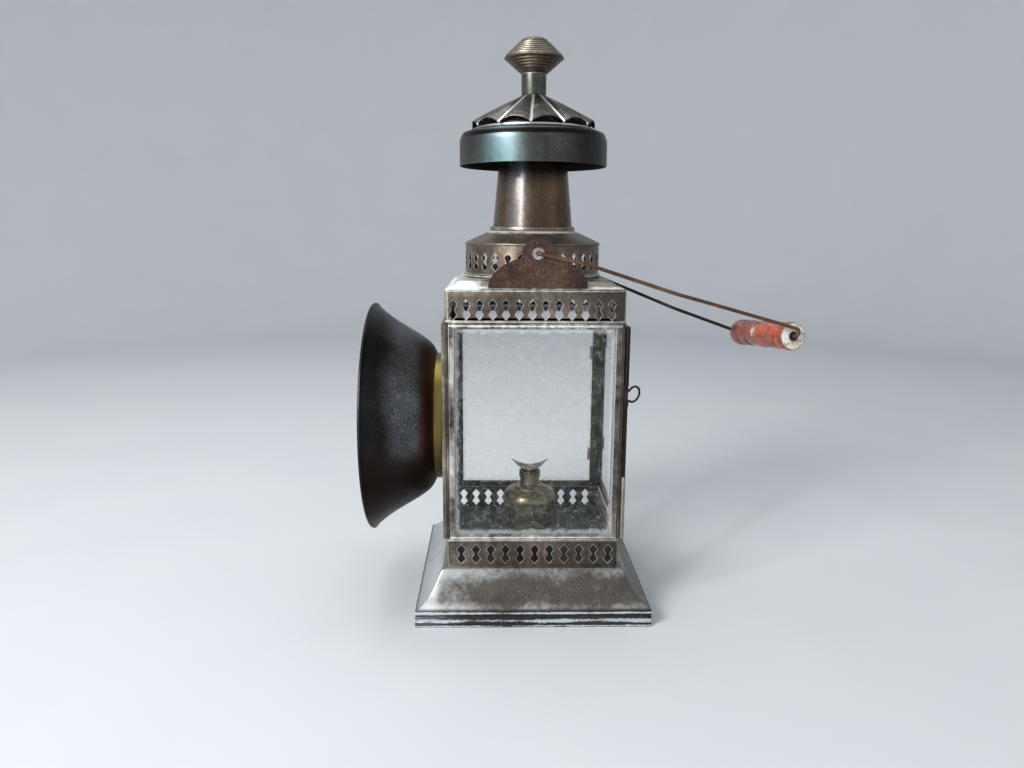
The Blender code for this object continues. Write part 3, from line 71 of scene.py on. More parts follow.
# %% A socket that can be calculated with
class Shade:
    """An output socket. Its operators add Math nodes, and node() adds a node of any other type."""

    def __init__(self, tree, socket=None):
        self.tree, self.socket = tree, socket

    def node(self, kind, settings, values, output=0):
        """Adds a node: its settings are set first, then its input sockets get values or links."""
        made = self.tree.nodes.new(kind)
        for key, value in settings.items():
            setattr(made, key, value)
        for key, value in values.items():
            if isinstance(value, Shade):
                self.tree.links.new(value.socket, made.inputs[key])
            else:
                made.inputs[key].default_value = value
        return Shade(self.tree, made.outputs[output])

    def maths(self, operation, first, second=0.0, clamp=False):
        settings = {"operation": operation, "use_clamp": clamp}
        return self.node("ShaderNodeMath", settings, {0: first, 1: second})

    def __add__(self, other):
        return self.maths("ADD", self, other)

    def __sub__(self, other):
        return self.maths("SUBTRACT", self, other)

    def __rsub__(self, other):
        return self.maths("SUBTRACT", other, self)

    def __mul__(self, other):
        return self.maths("MULTIPLY", self, other)

    def __pow__(self, other):
        return self.maths("POWER", self, other)

    __radd__ = __add__
    __rmul__ = __mul__

    def sine(self):
        return self.maths("SINE", self)

    def size(self):
        return self.maths("ABSOLUTE", self)

    def most(self, other):
        return self.maths("MAXIMUM", self, other)

    def least(self, other):
        return self.maths("MINIMUM", self, other)

    def held(self):
        """The value held between 0 and 1."""
        return self.maths("ADD", self, 0.0, clamp=True)

    def near(self, level, reach):
        """1 where the value is at level, falling in a straight line to 0 at reach away from it."""
        return (1.0 - (self - level).size() * (1.0 / reach)).held()

    def window(self, low, high):
        """A smooth step: 0 where the value is at low, 1 where it is at high."""
        settings = {"interpolation_type": "SMOOTHSTEP"}
        return self.node("ShaderNodeMapRange", settings, {0: self, 1: low, 2: high, 3: 0.0, 4: 1.0})

    def ragged(self, scale, reach):
        """The value plus a noise of that scale, so that a step in it gets an uneven edge, reach wide."""
        return self + (self.noise(scale) - 0.5) * reach

    def tint(self, first, second):
        """Goes from the first colour to the second as the value goes from 0 to 1."""
        ends = [c if isinstance(c, Shade) else (*c, 1.0) for c in (first, second)]
        return self.node("ShaderNodeMix", {"data_type": "RGBA"}, {0: self, 6: ends[0], 7: ends[1]}, 2)

    def place(self, stretch=(1.0, 1.0, 1.0)):
        """The piece's own coordinates in metres, scaled along each axis."""
        spot = self.node("ShaderNodeTexCoord", {}, {}, "Object")
        if stretch == (1.0, 1.0, 1.0):
            return spot
        return self.node("ShaderNodeMapping", {}, {"Vector": spot, "Scale": stretch})

    def noise(self, scale, detail=4.0, rough=0.55, stretch=(1.0, 1.0, 1.0)):
        """Cloudy noise from 0 to 1 on the piece's own coordinates, scaled by stretch."""
        values = {"Vector": self.place(stretch), "Scale": scale, "Detail": detail, "Roughness": rough}
        return self.node("ShaderNodeTexNoise", {}, values)

    def axis(self, index):
        """One coordinate of the surface point, in metres."""
        return self.node("ShaderNodeSeparateXYZ", {}, {0: self.place()}, index)

    def turn(self):
        """The angle round the Z axis, in radians, from -pi to pi."""
        return self.maths("ARCTAN2", self.axis(1), self.axis(0))

    def reach(self):
        """The distance from the Z axis."""
        return (self.axis(0) ** 2 + self.axis(1) ** 2) ** 0.5

    def under(self):
        """1 on faces that look down, 0 on all others. The cap takes it for painted shade."""
        normal = self.node("ShaderNodeNewGeometry", {}, {}, "Normal")
        return self.node("ShaderNodeSeparateXYZ", {}, {0: normal}, 2).window(-0.1, -0.4)


def new_material(name):
    """A material with an empty tree, and a Shade to build on it."""
    made = bpy.data.materials.new(name)
    made.use_nodes = True
    made.node_tree.nodes.clear()
    return made, Shade(made.node_tree)


def show(s, values):
    """Ends a material: a Principled BSDF with these inputs feeds the output."""
    surface = s.node("ShaderNodeBsdfPrincipled", {}, values)
    end = s.tree.nodes.new("ShaderNodeOutputMaterial")
    s.tree.links.new(surface.socket, end.inputs["Surface"])


print("operators ready:", [name for name in vars(Shade) if name.startswith("__") and name != "__init__"][:6])

# %% [markdown]
# ## Aged sheet brass
#
# Old lantern brass isn't golden. It has gone grey-brown, with darker clouds where hands and soot reached it,
# a pale film of whitewash that stayed in the seams, thin streaks from rain, and pits. One function makes
# that finish, and each piece passes the colours and the heights of its own seams. The pale film isn't
# metal, so it also lowers Metallic and raises Roughness. That contrast is what the eye reads as age.

# %% The finish shared by all the sheet pieces
WHITEWASH = (0.62, 0.61, 0.57)
SOOT = (0.018, 0.015, 0.013)


def aged_sheet(
    name, body, shadow, pale=WHITEWASH, rough=0.38, film=0.35, seams=(), streaks=0.25, pits=0.25, metal=0.85,
    dents=0.5, contrast=0.5, dusting=0.12, marks=(), soot=None,
):
    """Tarnished sheet. seams are (height, reach) pairs, where the pale film gathers within that reach.

    contrast from 0 to 1 sharpens the clouds between shadow and body. dusting is a scatter of pale grains.
    marks are further masks from functions of the Shade, each with its colour. soot is (low, high) heights
    between which the sheet darkens upwards.
    """
    made, s = new_material(name)
    cloud = s.noise(24.0, 5.0, 0.6)
    grain = s.noise(150.0, 4.0, 0.65)
    speck = s.noise(1100.0, 2.0, 0.5)
    half = 0.30 - 0.2 * contrast
    colour = (cloud * 0.6 + grain * 0.4).window(0.5 - half, 0.5 + half).tint(shadow, body)
    rain = s.noise(420.0, 3.0, 0.6, (1.0, 1.0, 0.05))
    pale_mask = (grain * 0.5 + cloud * 0.5).window(0.53, 0.80) * film
    pale_mask = pale_mask + (rain * cloud).window(0.27, 0.42) * streaks * film
    height = s.axis(2)
    for level, reach in seams:
        gathered = height.near(level, reach) * 0.75 + grain * 0.75 + speck * 0.2
        pale_mask = pale_mask.most(gathered.window(0.85, 1.15) * 0.9)
    pale_mask = (pale_mask + (speck * 0.8 + cloud * 0.2).window(0.56, 0.66) * dusting).held()
    colour = (pale_mask * (0.65 + speck * 0.5)).held().tint(colour, pale)
    pit_mask = (speck * 0.7 + grain * 0.3).window(0.38, 0.30) * pits
    colour = pit_mask.tint(colour, tuple(c * 0.35 for c in shadow))
    if soot:
        dark = (height + (cloud - 0.5) * 0.03).window(*soot)
        colour = (dark * 0.85).tint(colour, SOOT)
    for mask, tone in marks:
        colour = mask(s).held().tint(colour, tone)
    hills = cloud * 1.2 + grain * 0.5 + speck * 0.12 - pit_mask * 0.5
    show(s, {
        "Base Color": colour,
        "Metallic": metal * (1.0 - pale_mask * 0.9),
        "Roughness": (rough + pale_mask * 0.35 + (grain - 0.5) * 0.2).held(),
        "Normal": s.node("ShaderNodeBump", {}, {"Strength": dents, "Distance": 0.4 * MM, "Height": hills}),
    })
    return made


print("sheet finish defined, film colour", WHITEWASH)

# %% [markdown]
# ## Where seams lie
#
# The film's heights come from the solid model's own pieces, so they stay right if its sizes change.
# `span` reads the lowest and the highest point of a piece. Marks that belong to one piece, such as the painted
# highlights along the base's rim, are functions that get the material's Shade and return where they lie.


# %% Heights of the pieces
def span(node, axis=2):
    low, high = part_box(node)
    return low[axis], high[axis]


LEDGE_HEIGHT = span("base_plinth")[1]
BAND_TOP = span("lower_gallery")[1]
HIGH_BAND = span("upper_gallery")
ROOF = span("roof_plate")
DRUM = span("drum_gallery")
SHOULDER_TOP = span("drum_shoulder")[1]
TUBE_TOP = span("chimney_tube")[1]
HOOD_TOP, HOOD_WIDE = span("hood")[1], span("hood", 0)[1]
CAP = span("fluted_cap")
STEM_TOP = span("finial_stem")[1]
KNOB = span("finial_knob")
BELL_MOUTH, BELL_NECK = span("reflector_bell", 0)
BELL_MIDDLE = sum(span("reflector_bell")) / 2
print("ledge at", round(LEDGE_HEIGHT / MM, 1), "mm, bell middle at", round(BELL_MIDDLE / MM, 1), "mm")

# %% The base's finish
RIM_TOP = 16.3 * MM
# Heights and half widths of the rim's three beads, where highlights are painted.
RIM_HIGHLIGHT_LEVELS = ((1.2 * MM, 1.8 * MM), (6.4 * MM, 3.2 * MM), (13.8 * MM, 1.8 * MM))


def white_slope(s):
    """The base's left slope, where the whitewash was never wiped off."""
    far_left = (s.axis(0) * -1.0).window(83 * MM, 92 * MM)
    return far_left * (s.noise(45.0, 5.0, 0.65) + s.noise(300.0) * 0.35).window(0.36, 0.62) * 0.92


def rim_painted_highlights(s):
    """Painted highlights along the beads of the base's rim, broken up by noise."""
    height = s.axis(2)
    broken = s.noise(70.0, 5.0, 0.75, (0.2, 0.2, 1.0)) + s.noise(500.0, 2.0) * 0.25
    low, middle, high = (height.near(level, half) for level, half in RIM_HIGHLIGHT_LEVELS)
    below_cove = 1.0 - height.window(RIM_TOP, RIM_TOP + 1 * MM)
    return (low.most(middle).most(high) * 0.38 + broken * 1.15).window(0.88, 1.06) * 0.9 * below_cove


def rim_painted_shade(s):
    """Painted shade on the rim between its bright lines."""
    return (1.0 - s.axis(2).window(RIM_TOP - 0.6 * MM, RIM_TOP + 1.5 * MM)) * 0.85


def soft_haze(s):
    """Wiped whitewash: a soft bloom under the ledge and in the cove's foot, heavier towards the left."""
    height = s.axis(2)
    under_ledge = height.window(LEDGE_HEIGHT - 17 * MM, LEDGE_HEIGHT - 1 * MM)
    foot = 1.0 - (height - RIM_TOP).size().window(0.5 * MM, 7 * MM)
    leftward = (s.axis(0) * -1.0).window(10 * MM, 90 * MM) * 0.35
    bloom = s.noise(32.0, 5.0, 0.7) * 0.7 + s.noise(260.0, 3.0) * 0.3
    return ((under_ledge * 0.42 + foot * 0.3 + leftward) * 0.6 + bloom).window(0.58, 1.0) * 0.85


# The rim's marks paint shade on the rim and highlights along its beads.
plinth_finish = aged_sheet(
    "plinth_sheet", (0.15, 0.135, 0.115), (0.085, 0.07, 0.058), film=0.22, contrast=0.1, dusting=0.2, dents=0.35,
    marks=(
        (soft_haze, (0.56, 0.57, 0.56)), (white_slope, (0.68, 0.70, 0.72)),
        (rim_painted_shade, (0.03, 0.027, 0.025)), (rim_painted_highlights, (0.74, 0.79, 0.84)),
    ),
)
print("base finish made, rim up to", round(RIM_TOP / MM, 1), "mm")

# %% The square body's finishes
RAIL_OUTER = span("front_window_frame", 0)[1]
RAIL_INNER = RAIL_OUTER - 4.8 * MM


def right_side_painted_shade(s):
    """Painted shade on the lamp's right side, which the key light from the left doesn't reach."""
    return s.axis(0).ragged(18.0, 50 * MM).window(35 * MM, 85 * MM) * 0.6


def rail_lines(s):
    """Bright rubbed lines along the frame's outer and inner edges."""
    across = s.axis(0).size()
    worn = s.noise(200.0, 4.0, 0.6, (1.0, 1.0, 0.15))
    lines = across.near(RAIL_OUTER, 1.0 * MM).most(across.near(RAIL_INNER, 0.9 * MM))
    return (lines * 0.8 + worn * 0.6).window(0.75, 1.05) * 0.8


def roof_corner(s):
    """A crust of old whitewash on the roof's left side, thinning out past the drum."""
    left = (s.axis(0) * -1.0).ragged(30.0, 50 * MM).window(20 * MM, 66 * MM)
    return (left * 0.55 + s.noise(55.0, 5.0, 0.7) * 0.8).window(0.62, 0.88) * 0.92


# The right-side marks below paint shade on each piece's right side.
lower_band_finish = aged_sheet(
    "lower_band_sheet", (0.13, 0.098, 0.07), (0.04, 0.029, 0.021), rough=0.34, film=0.2,
    seams=((BAND_TOP, 1.8 * MM), (LEDGE_HEIGHT, 1.6 * MM)), marks=((right_side_painted_shade, (0.03, 0.024, 0.02)),),
)
frame_finish = aged_sheet(
    "frame_sheet", (0.42, 0.39, 0.35), (0.04, 0.032, 0.026), (0.76, 0.76, 0.73), 0.30, 0.6,
    seams=((BAND_TOP + 1.5 * MM, 2.0 * MM), (HIGH_BAND[0] - 2.5 * MM, 2.5 * MM)), streaks=0.8, contrast=0.75,
    marks=((right_side_painted_shade, (0.045, 0.036, 0.03)), (rail_lines, (0.66, 0.65, 0.61))),
)
post_finish = aged_sheet("post_sheet", (0.12, 0.094, 0.07), (0.03, 0.023, 0.018), rough=0.36, streaks=0.6)
# The door on the right side is made dark: painted shade where the key light doesn't reach.
door_painted_shade_finish = aged_sheet("door_sheet_painted_shade", (0.09, 0.07, 0.055), (0.028, 0.021, 0.017), film=0.25, streaks=0.4)
panel_finish = aged_sheet(
    "panel_sheet", (0.26, 0.235, 0.19), (0.075, 0.06, 0.045), rough=0.36, film=0.4, streaks=0.7,
)
upper_band_finish = aged_sheet(
    "upper_band_sheet", (0.21, 0.17, 0.13), (0.075, 0.056, 0.042), rough=0.32, film=0.25, contrast=0.45,
    seams=((HIGH_BAND[1], 2.4 * MM), (HIGH_BAND[0] + 1 * MM, 1.6 * MM)),
    marks=((right_side_painted_shade, (0.04, 0.03, 0.025)),),
)
roof_finish = aged_sheet(
    "roof_sheet", (0.25, 0.23, 0.19), (0.10, 0.085, 0.065), (0.70, 0.70, 0.68), 0.40, 0.6,
    seams=((ROOF[0] + 2 * MM, 2.5 * MM),), streaks=0.8, marks=((roof_corner, (0.74, 0.75, 0.75)),),
)
drum_finish = aged_sheet(
    "drum_sheet", (0.21, 0.16, 0.115), (0.065, 0.046, 0.033), rough=0.32, film=0.2, contrast=0.45,
    seams=((DRUM[0] + 1.6 * MM, 1.8 * MM),), marks=((right_side_painted_shade, (0.03, 0.022, 0.018)),),
)
shoulder_finish = aged_sheet(
    "shoulder_sheet", (0.27, 0.235, 0.19), (0.11, 0.09, 0.07), rough=0.36, film=0.6, contrast=0.3, dusting=0.3,
    seams=((SHOULDER_TOP - 0.5 * MM, 4.5 * MM),), marks=((right_side_painted_shade, (0.05, 0.042, 0.034)),),
)
print(len(bpy.data.materials), "materials up to the shoulder")

# %% The chimney's and the hood's finishes
LIP_RADIUS = (52.6 * MM, 52.9 * MM)


def tube_painted_highlight(s):
    """A painted reflection of the light at the left: a cool band down the left third of the chimney and the hood.
    """
    side = (s.turn() - math.radians(-118)).size()
    return (1.0 - side.window(math.radians(4), math.radians(26))) * (0.15 + s.noise(60.0) * 0.5)


def tube_right_painted_shade(s):
    """Painted shade on the chimney's and the hood's right side."""
    return s.axis(0).ragged(25.0, 30 * MM).window(12 * MM, 42 * MM) * 0.8


def above_skirt(s):
    return s.axis(2).window(HOOD_TOP - 9 * MM, HOOD_TOP - 7 * MM)


def hood_top_painted_shade(s):
    """Painted shade on the hood's lip under the cap: its inner face and the top of its outer one."""
    inner = (1.0 - s.reach().window(*LIP_RADIUS)) * above_skirt(s)
    return inner.most(s.axis(2).window(HOOD_TOP - 2.2 * MM, HOOD_TOP - 1.6 * MM))


def hood_ring(s):
    """The ring round the cap, which is still white."""
    ring = s.axis(2).window(HOOD_TOP - 4.6 * MM, HOOD_TOP - 3.4 * MM) * s.reach().window(*LIP_RADIUS)
    return (ring + s.noise(90.0, 4.0, 0.7) * 0.6).window(1.02, 1.25) * 0.9


def hood_inside(s):
    """The inner face of the skirt, made near black."""
    return (1.0 - s.reach().window(HOOD_WIDE - 0.9 * MM, HOOD_WIDE - 0.7 * MM)) * (1.0 - above_skirt(s))


# The chimney's first mark is a painted highlight down its left third, and its second is painted shade on its right
# side.
chimney_finish = aged_sheet(
    "chimney_sheet", (0.17, 0.115, 0.075), (0.075, 0.046, 0.03), (0.50, 0.50, 0.49), 0.26, 0.16, contrast=0.3,
    seams=((SHOULDER_TOP + 1 * MM, 2 * MM),), soot=(TUBE_TOP - 52 * MM, TUBE_TOP - 20 * MM), dents=0.3,
    marks=((tube_painted_highlight, (0.26, 0.27, 0.29)), (tube_right_painted_shade, (0.018, 0.013, 0.011))),
)
foot_ring_finish = aged_sheet(
    "foot_ring_sheet", (0.27, 0.235, 0.175), (0.12, 0.10, 0.075), rough=0.34, film=0.5, dusting=0.3,
)
# On the hood: a painted reflection down the left third, painted shade on the right side and painted shade on the
# lip under the cap.
hood_finish = aged_sheet(
    "hood_sheet", (0.10, 0.10, 0.093), (0.05, 0.048, 0.044), (0.56, 0.55, 0.52), film=0.14, contrast=0.3,
    dents=0.35, metal=0.95,
    marks=(
        (tube_painted_highlight, (0.17, 0.32, 0.36)), (tube_right_painted_shade, (0.022, 0.015, 0.014)),
        (hood_ring, (0.70, 0.70, 0.67)), (hood_top_painted_shade, (0.010, 0.009, 0.008)), (hood_inside, (0.015, 0.012, 0.011)),
    ),
)
print("hood top at", round(HOOD_TOP / MM, 1), "mm")

# %% The finishes of the cap, the stem and the knob
CAP_LOBES = 12
CAP_TURN_DEG = -5.0
KNOB_STEPS = 6
KNOB_STEPPED = (0.455, 0.84)


def cap_valleys(s):
    """White lines in the cap's valleys: the distance round to the nearest valley is under a millimetre."""
    round_to = ((s.turn() - math.radians(CAP_TURN_DEG - 90)) * (CAP_LOBES / 2)).sine().size()
    apart = round_to * s.reach() * (2 / CAP_LOBES)
    ragged = s.noise(160.0, 4.0, 0.7)
    line = 1.0 - (apart + (ragged - 0.5) * 1.8 * MM).window(0.8 * MM, 1.7 * MM)
    return line * (0.45 + ragged)


def knob_share(s):
    """How far up the knob a point lies, from 0 to 1."""
    return (s.axis(2) - KNOB[0]) * (1 / (KNOB[1] - KNOB[0]))


def knob_wave(s):
    """A sine of the height with one wave for each turned step of the upper part."""
    low, high = KNOB_STEPPED
    return ((knob_share(s) - low) * (2 * math.pi * KNOB_STEPS / (high - low)) - 1.2 * math.pi).sine()


def knob_zone(s):
    """1 between the lowest and the highest of those steps."""
    low, high = KNOB_STEPPED
    return knob_share(s).window(low, low + 0.02) * (1.0 - knob_share(s).window(high, high + 0.02))


def knob_grooves(s):
    return knob_wave(s).window(0.2, 0.85) * knob_zone(s) * 0.9


def knob_edges(s):
    worn = s.noise(120.0, 4.0, 0.7).window(0.3, 0.6) * 0.7
    return (knob_wave(s) * -1.0).window(0.1, 0.9) * knob_zone(s) * worn


def knob_low_painted_shade(s):
    """Painted shade on the part below the rim: darker than the top, and darker still towards the right."""
    return (1.0 - knob_share(s).window(0.38, 0.44)) * (0.5 + s.axis(0).window(-5 * MM, 18 * MM) * 0.4)


# The cap's faces that look down are painted near black: painted shade under its lobes.
cap_finish = aged_sheet(
    "cap_sheet", (0.15, 0.14, 0.125), (0.025, 0.021, 0.018), (0.74, 0.73, 0.70), film=0.4, streaks=0.3,
    contrast=0.8, dusting=0.3, marks=((cap_valleys, (0.86, 0.85, 0.82)), (Shade.under, (0.008, 0.007, 0.006))),
)
stem_finish = aged_sheet(
    "stem_tube", (0.10, 0.108, 0.088), (0.045, 0.048, 0.038), rough=0.36, film=0.12, contrast=0.0,
    seams=((STEM_TOP, 1.2 * MM),), dents=0.3,
)
# The knob's last mark is painted shade below its rim.
knob_finish = aged_sheet(
    "turned_knob", (0.20, 0.155, 0.11), (0.065, 0.048, 0.034), (0.60, 0.57, 0.50), 0.42, 0.4, dusting=0.3,
    marks=(
        (knob_edges, (0.50, 0.46, 0.38)), (knob_grooves, (0.014, 0.011, 0.009)),
        (knob_low_painted_shade, (0.05, 0.034, 0.024)),
    ),
)
print("cap with", CAP_LOBES, "lobes, knob with", KNOB_STEPS, "upper steps")

# %% The finishes of the ears, the fittings and the burner
def ear_dark(s):
    """Old grime along the ear's wings, lighter about the eye where the bail rubs."""
    return s.axis(0).size().ragged(40.0, 30 * MM).window(22 * MM, 46 * MM) * 0.6


ear_finish = aged_sheet(
    "rusted_ear", (0.105, 0.054, 0.036), (0.030, 0.017, 0.013), (0.40, 0.34, 0.29), 0.46, 0.05, metal=0.7,
    pits=0.5, contrast=0.6, dusting=0.30, marks=((ear_dark, (0.016, 0.011, 0.009)),),
)
inside_finish = aged_sheet(
    "sooted_inside", (0.045, 0.039, 0.034), (0.014, 0.012, 0.011), (0.34, 0.34, 0.31), 0.5, 0.15, metal=0.5,
    dusting=0.35,
)
fitting_finish = aged_sheet("plated_fitting", (0.40, 0.39, 0.37), (0.16, 0.15, 0.13), rough=0.32, film=0.25)
washer_finish = aged_sheet(
    "worn_washer", (0.72, 0.70, 0.66), (0.22, 0.20, 0.17), rough=0.24, film=0.5, contrast=0.7,
)
# The upper latch tube and the bolt take the fitting's metal darkened to near black: painted shade.
fitting_in_painted_shade_finish = aged_sheet(
    "fitting_painted_shade", (0.024, 0.021, 0.019), (0.011, 0.010, 0.009), (0.25, 0.24, 0.23), 0.5, 0.05,
    dusting=0.04,
)
# Bright metal for the rims of the galleries' holes: rubbed metal, and painted highlights on those rims.
rim_wear_and_highlight_finish = aged_sheet(
    "rubbed_rim_painted_highlight", (0.66, 0.65, 0.62), (0.30, 0.28, 0.25), (0.78, 0.78, 0.75), 0.34, 0.5, metal=0.7,
)
burner_finish = aged_sheet(
    "burner_brass", (0.27, 0.22, 0.115), (0.10, 0.075, 0.04), (0.60, 0.59, 0.52), 0.30, 0.3,
)
leaf_finish = aged_sheet("pale_leaf", (0.52, 0.51, 0.46), (0.22, 0.20, 0.16), (0.75, 0.76, 0.72), 0.30, 0.5)
can_finish = aged_sheet("tarnished_can", (0.15, 0.12, 0.07), (0.06, 0.048, 0.03), rough=0.5, film=0.3)
rubber_finish = aged_sheet(
    "black_rubber", (0.03, 0.03, 0.028), (0.018, 0.018, 0.017), (0.2, 0.2, 0.19), 0.75, 0.25, metal=0.0,
)
print(len(bpy.data.materials), "materials after the fittings")

# %% [markdown]
# ## The bell's heat colours
#
# The bell is blackened brass. Near its neck the lamp's heat has left a red band and then an olive one, which
# goes on over the collar. Its upper half has a sandy grain painted as glints of light; its lower half is browner.
# Heat spreads along the bell and not round it, so the bands are steps of the place along its axis.


# %% The finishes of the bell, the collar and the bail
def upper_part(s):
    return s.axis(2).ragged(30.0, 40 * MM).window(BELL_MIDDLE - 50 * MM, BELL_MIDDLE + 5 * MM)


# The bell's lower half, made browner than the rest.
def browner_lower_half(s):
    return (1.0 - upper_part(s)) * 0.85


def sand_and_painted_glints(s):
    """Sandy grain over the upper half, painted as pale glints of light, thickest between the mouth's lip and the
    neck.
    """
    along = s.axis(0).ragged(24.0, 20 * MM)
    spread = along.window(BELL_MOUTH + 14 * MM, BELL_MOUTH + 32 * MM) * upper_part(s)
    fine = s.noise(1700.0, 2.0, 0.7) * 0.85 + s.noise(50.0, 4.0) * 0.15
    return fine.window(0.42, 0.66) * (0.04 + spread * 0.6)


def red_band(s):
    along = s.axis(0).ragged(24.0, 12 * MM).window(BELL_NECK - 24 * MM, BELL_NECK - 17 * MM)
    return along * (0.2 + upper_part(s) * 0.6)


def olive_band(s):
    along = s.axis(0).ragged(24.0, 8 * MM).window(BELL_NECK - 13 * MM, BELL_NECK - 7 * MM)
    return along * (0.25 + upper_part(s) * 0.65)


def lower_brown(s):
    """The collar's lower half, darker and browner."""
    return 1.0 - s.axis(2).ragged(30.0, 40 * MM).window(BELL_MIDDLE - 30 * MM, BELL_MIDDLE + 10 * MM)


def far_arm_painted_shade(s):
    """Painted shade on the bail's arm on the far side, which is almost black."""
    return s.axis(1).window(-6 * MM, 20 * MM) * 0.9


# The bell's pale specks on its upper half are painted glints of light on a sandy grain.
bell_finish = aged_sheet(
    "blackened_bell", (0.024, 0.020, 0.019), (0.012, 0.010, 0.009), (0.40, 0.42, 0.46), 0.40, 0.04,
    contrast=0.2, dusting=0.05, dents=0.4, metal=0.95,
    marks=(
        (sand_and_painted_glints, (0.44, 0.48, 0.52)), (browner_lower_half, (0.022, 0.010, 0.008)), (red_band, (0.075, 0.02, 0.013)),
        (olive_band, (0.20, 0.155, 0.045)),
    ),
)
olive_finish = aged_sheet(
    "olive_collar", (0.20, 0.165, 0.05), (0.085, 0.066, 0.024), rough=0.36, film=0.2, contrast=0.4,
    marks=((lower_brown, (0.07, 0.04, 0.022)),),
)
wire_finish = aged_sheet(
    "brown_wire", (0.18, 0.092, 0.052), (0.065, 0.033, 0.020), (0.40, 0.36, 0.30), 0.42, 0.12, metal=0.6,
    marks=((far_arm_painted_shade, (0.012, 0.010, 0.009)),),
)
print("bell from", round(BELL_MOUTH / MM, 1), "to", round(BELL_NECK / MM, 1), "mm")

# %% [markdown]
# ## Stained wood
#
# The grip is turned from beech and stained red. The stain has worn off on its crests, in a pale ring where
# fingers lie, and on its sawn ends. The grip lies askew in the model, so the place along it is the dot
# product with its own axis, and the distance from that axis is the length of the cross product.

# %% The wooden grip
GRIP_AXIS = Vector(JOINT["grip_spin"]["axis"])
GRIP_MIDDLE = Vector(JOINT["grip_spin"]["pos_m"])
grip_places = [vertex.co for vertex in frame["nodes"]["bail_grip"].data.vertices]
GRIP_HALF = max(abs((place - GRIP_MIDDLE).dot(GRIP_AXIS)) for place in grip_places)


def stained_wood():
    """Red stain, worn along the fibres, with a pale ring and bare end grain about a dark bore, and painted shade
    at the far end.
    """
    made, s = new_material("stained_grip")

    def vector(operation, first, second, output=0):
        return s.node("ShaderNodeVectorMath", {"operation": operation}, {0: first, 1: second}, output)

    offset = vector("SUBTRACT", s.place(), tuple(GRIP_MIDDLE))
    along = vector("DOT_PRODUCT", offset, tuple(GRIP_AXIS), 1)
    across = vector("CROSS_PRODUCT", offset, tuple(GRIP_AXIS))
    out = s.node("ShaderNodeVectorMath", {"operation": "LENGTH"}, {0: across}, 1)
    fibre = s.noise(220.0, 4.0, 0.6, (1.0, 0.12, 1.0))
    cloud = s.noise(55.0, 4.0, 0.6)
    fine = s.noise(900.0, 2.0, 0.5)
    red = (cloud * 0.5 + fibre * 0.5).window(0.38, 0.60)
    near_end = red.tint((0.15, 0.022, 0.012), (0.48, 0.10, 0.032))
    far_end_painted_shade = red.tint((0.055, 0.014, 0.012), (0.24, 0.052, 0.036))
    # The far end takes the same stain darkened: painted shade.
    colour = (along + (cloud - 0.5) * 0.02).window(-12 * MM, 6 * MM).tint(far_end_painted_shade, near_end)
    worn = (fibre * 0.5 + cloud * 0.5).window(0.60, 0.72) * 0.5
    colour = worn.tint(colour, (0.62, 0.36, 0.24))
    ring = along.near(-4 * MM, 6 * MM) * cloud.window(0.42, 0.60)
    colour = (ring * 0.75).tint(colour, (0.86, 0.72, 0.62))
    end = along.size().window(GRIP_HALF - 1.4 * MM, GRIP_HALF - 0.6 * MM)
    pith = (fine * 0.5 + fibre * 0.5).window(0.36, 0.58).tint((0.30, 0.20, 0.14), (0.78, 0.76, 0.72))
    pith = (1.0 - out.window(4 * MM, 5.5 * MM)).tint(pith, (0.015, 0.012, 0.01))
    pith = out.window(11.2 * MM, 12.6 * MM).tint(pith, (0.20, 0.11, 0.07))
    bump = {"Strength": 0.5, "Distance": 0.35 * MM, "Height": fibre + fine * 0.4}
    show(s, {
        "Base Color": end.tint(colour, pith), "Roughness": (0.36 + worn * 0.3 + end * 0.35).held(),
        "Normal": s.node("ShaderNodeBump", {}, bump),
        "Coat Weight": (1.0 - worn) * (1.0 - end) * 0.35, "Coat Roughness": 0.25,
    })
    return made


wood_finish = stained_wood()
print("grip half length", round(GRIP_HALF / MM, 1), "mm")

# %% [markdown]
# ## Dusty glass
#
# The panes are clear but dirty: a pale crust along the frame where a cloth never reached, and specks all
# over. A thin pane is best made with Alpha: where the dust mask is 0 the ray passes straight on, and where it
# is 1 it meets a rough pale surface. Real refraction would add nothing on a flat pane 2 mm thick, and it
# would cost many bounces.


# %% The glass
def dusty_glass(name, node, across, haze=0.012):
    """Glass whose dust gathers within a few millimetres of its edges. across is the pane's width axis."""
    made, s = new_material(name)
    low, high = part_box(node)
    middle, half = (low[across] + high[across]) / 2, (high[across] - low[across]) / 2
    height = s.axis(2)
    side = half - (s.axis(across) - middle).size()
    edge = side.least((height - low[2]).least(high[2] - height))
    cloud, fine, speck = s.noise(16.0), s.noise(150.0), s.noise(950.0, 2.0, 0.5)
    rim = 1.0 - (edge + (fine - 0.5) * 0.010).window(4.8 * MM, 9 * MM)
    foot = 1.0 - (height + (cloud - 0.5) * 0.06).window(low[2], low[2] + 60 * MM)
    grit = (speck * 0.75 + fine * 0.25).window(0.56, 0.64)
    film = haze + cloud.window(0.45, 0.75) * 0.012 + foot * 0.02
    spots = rim * (0.03 + speck * 0.30) + grit * 0.18
    facing = s.node("ShaderNodeLayerWeight", {}, {"Blend": 0.18}, "Facing")
    show(s, {
        "Base Color": spots.window(0.0, 0.08).tint((0.20, 0.25, 0.235), (0.72, 0.74, 0.72)),
        "Roughness": (0.12 + spots * 0.55).held(),
        "Alpha": (film + spots + facing * 0.18).held(),
    })
    return made


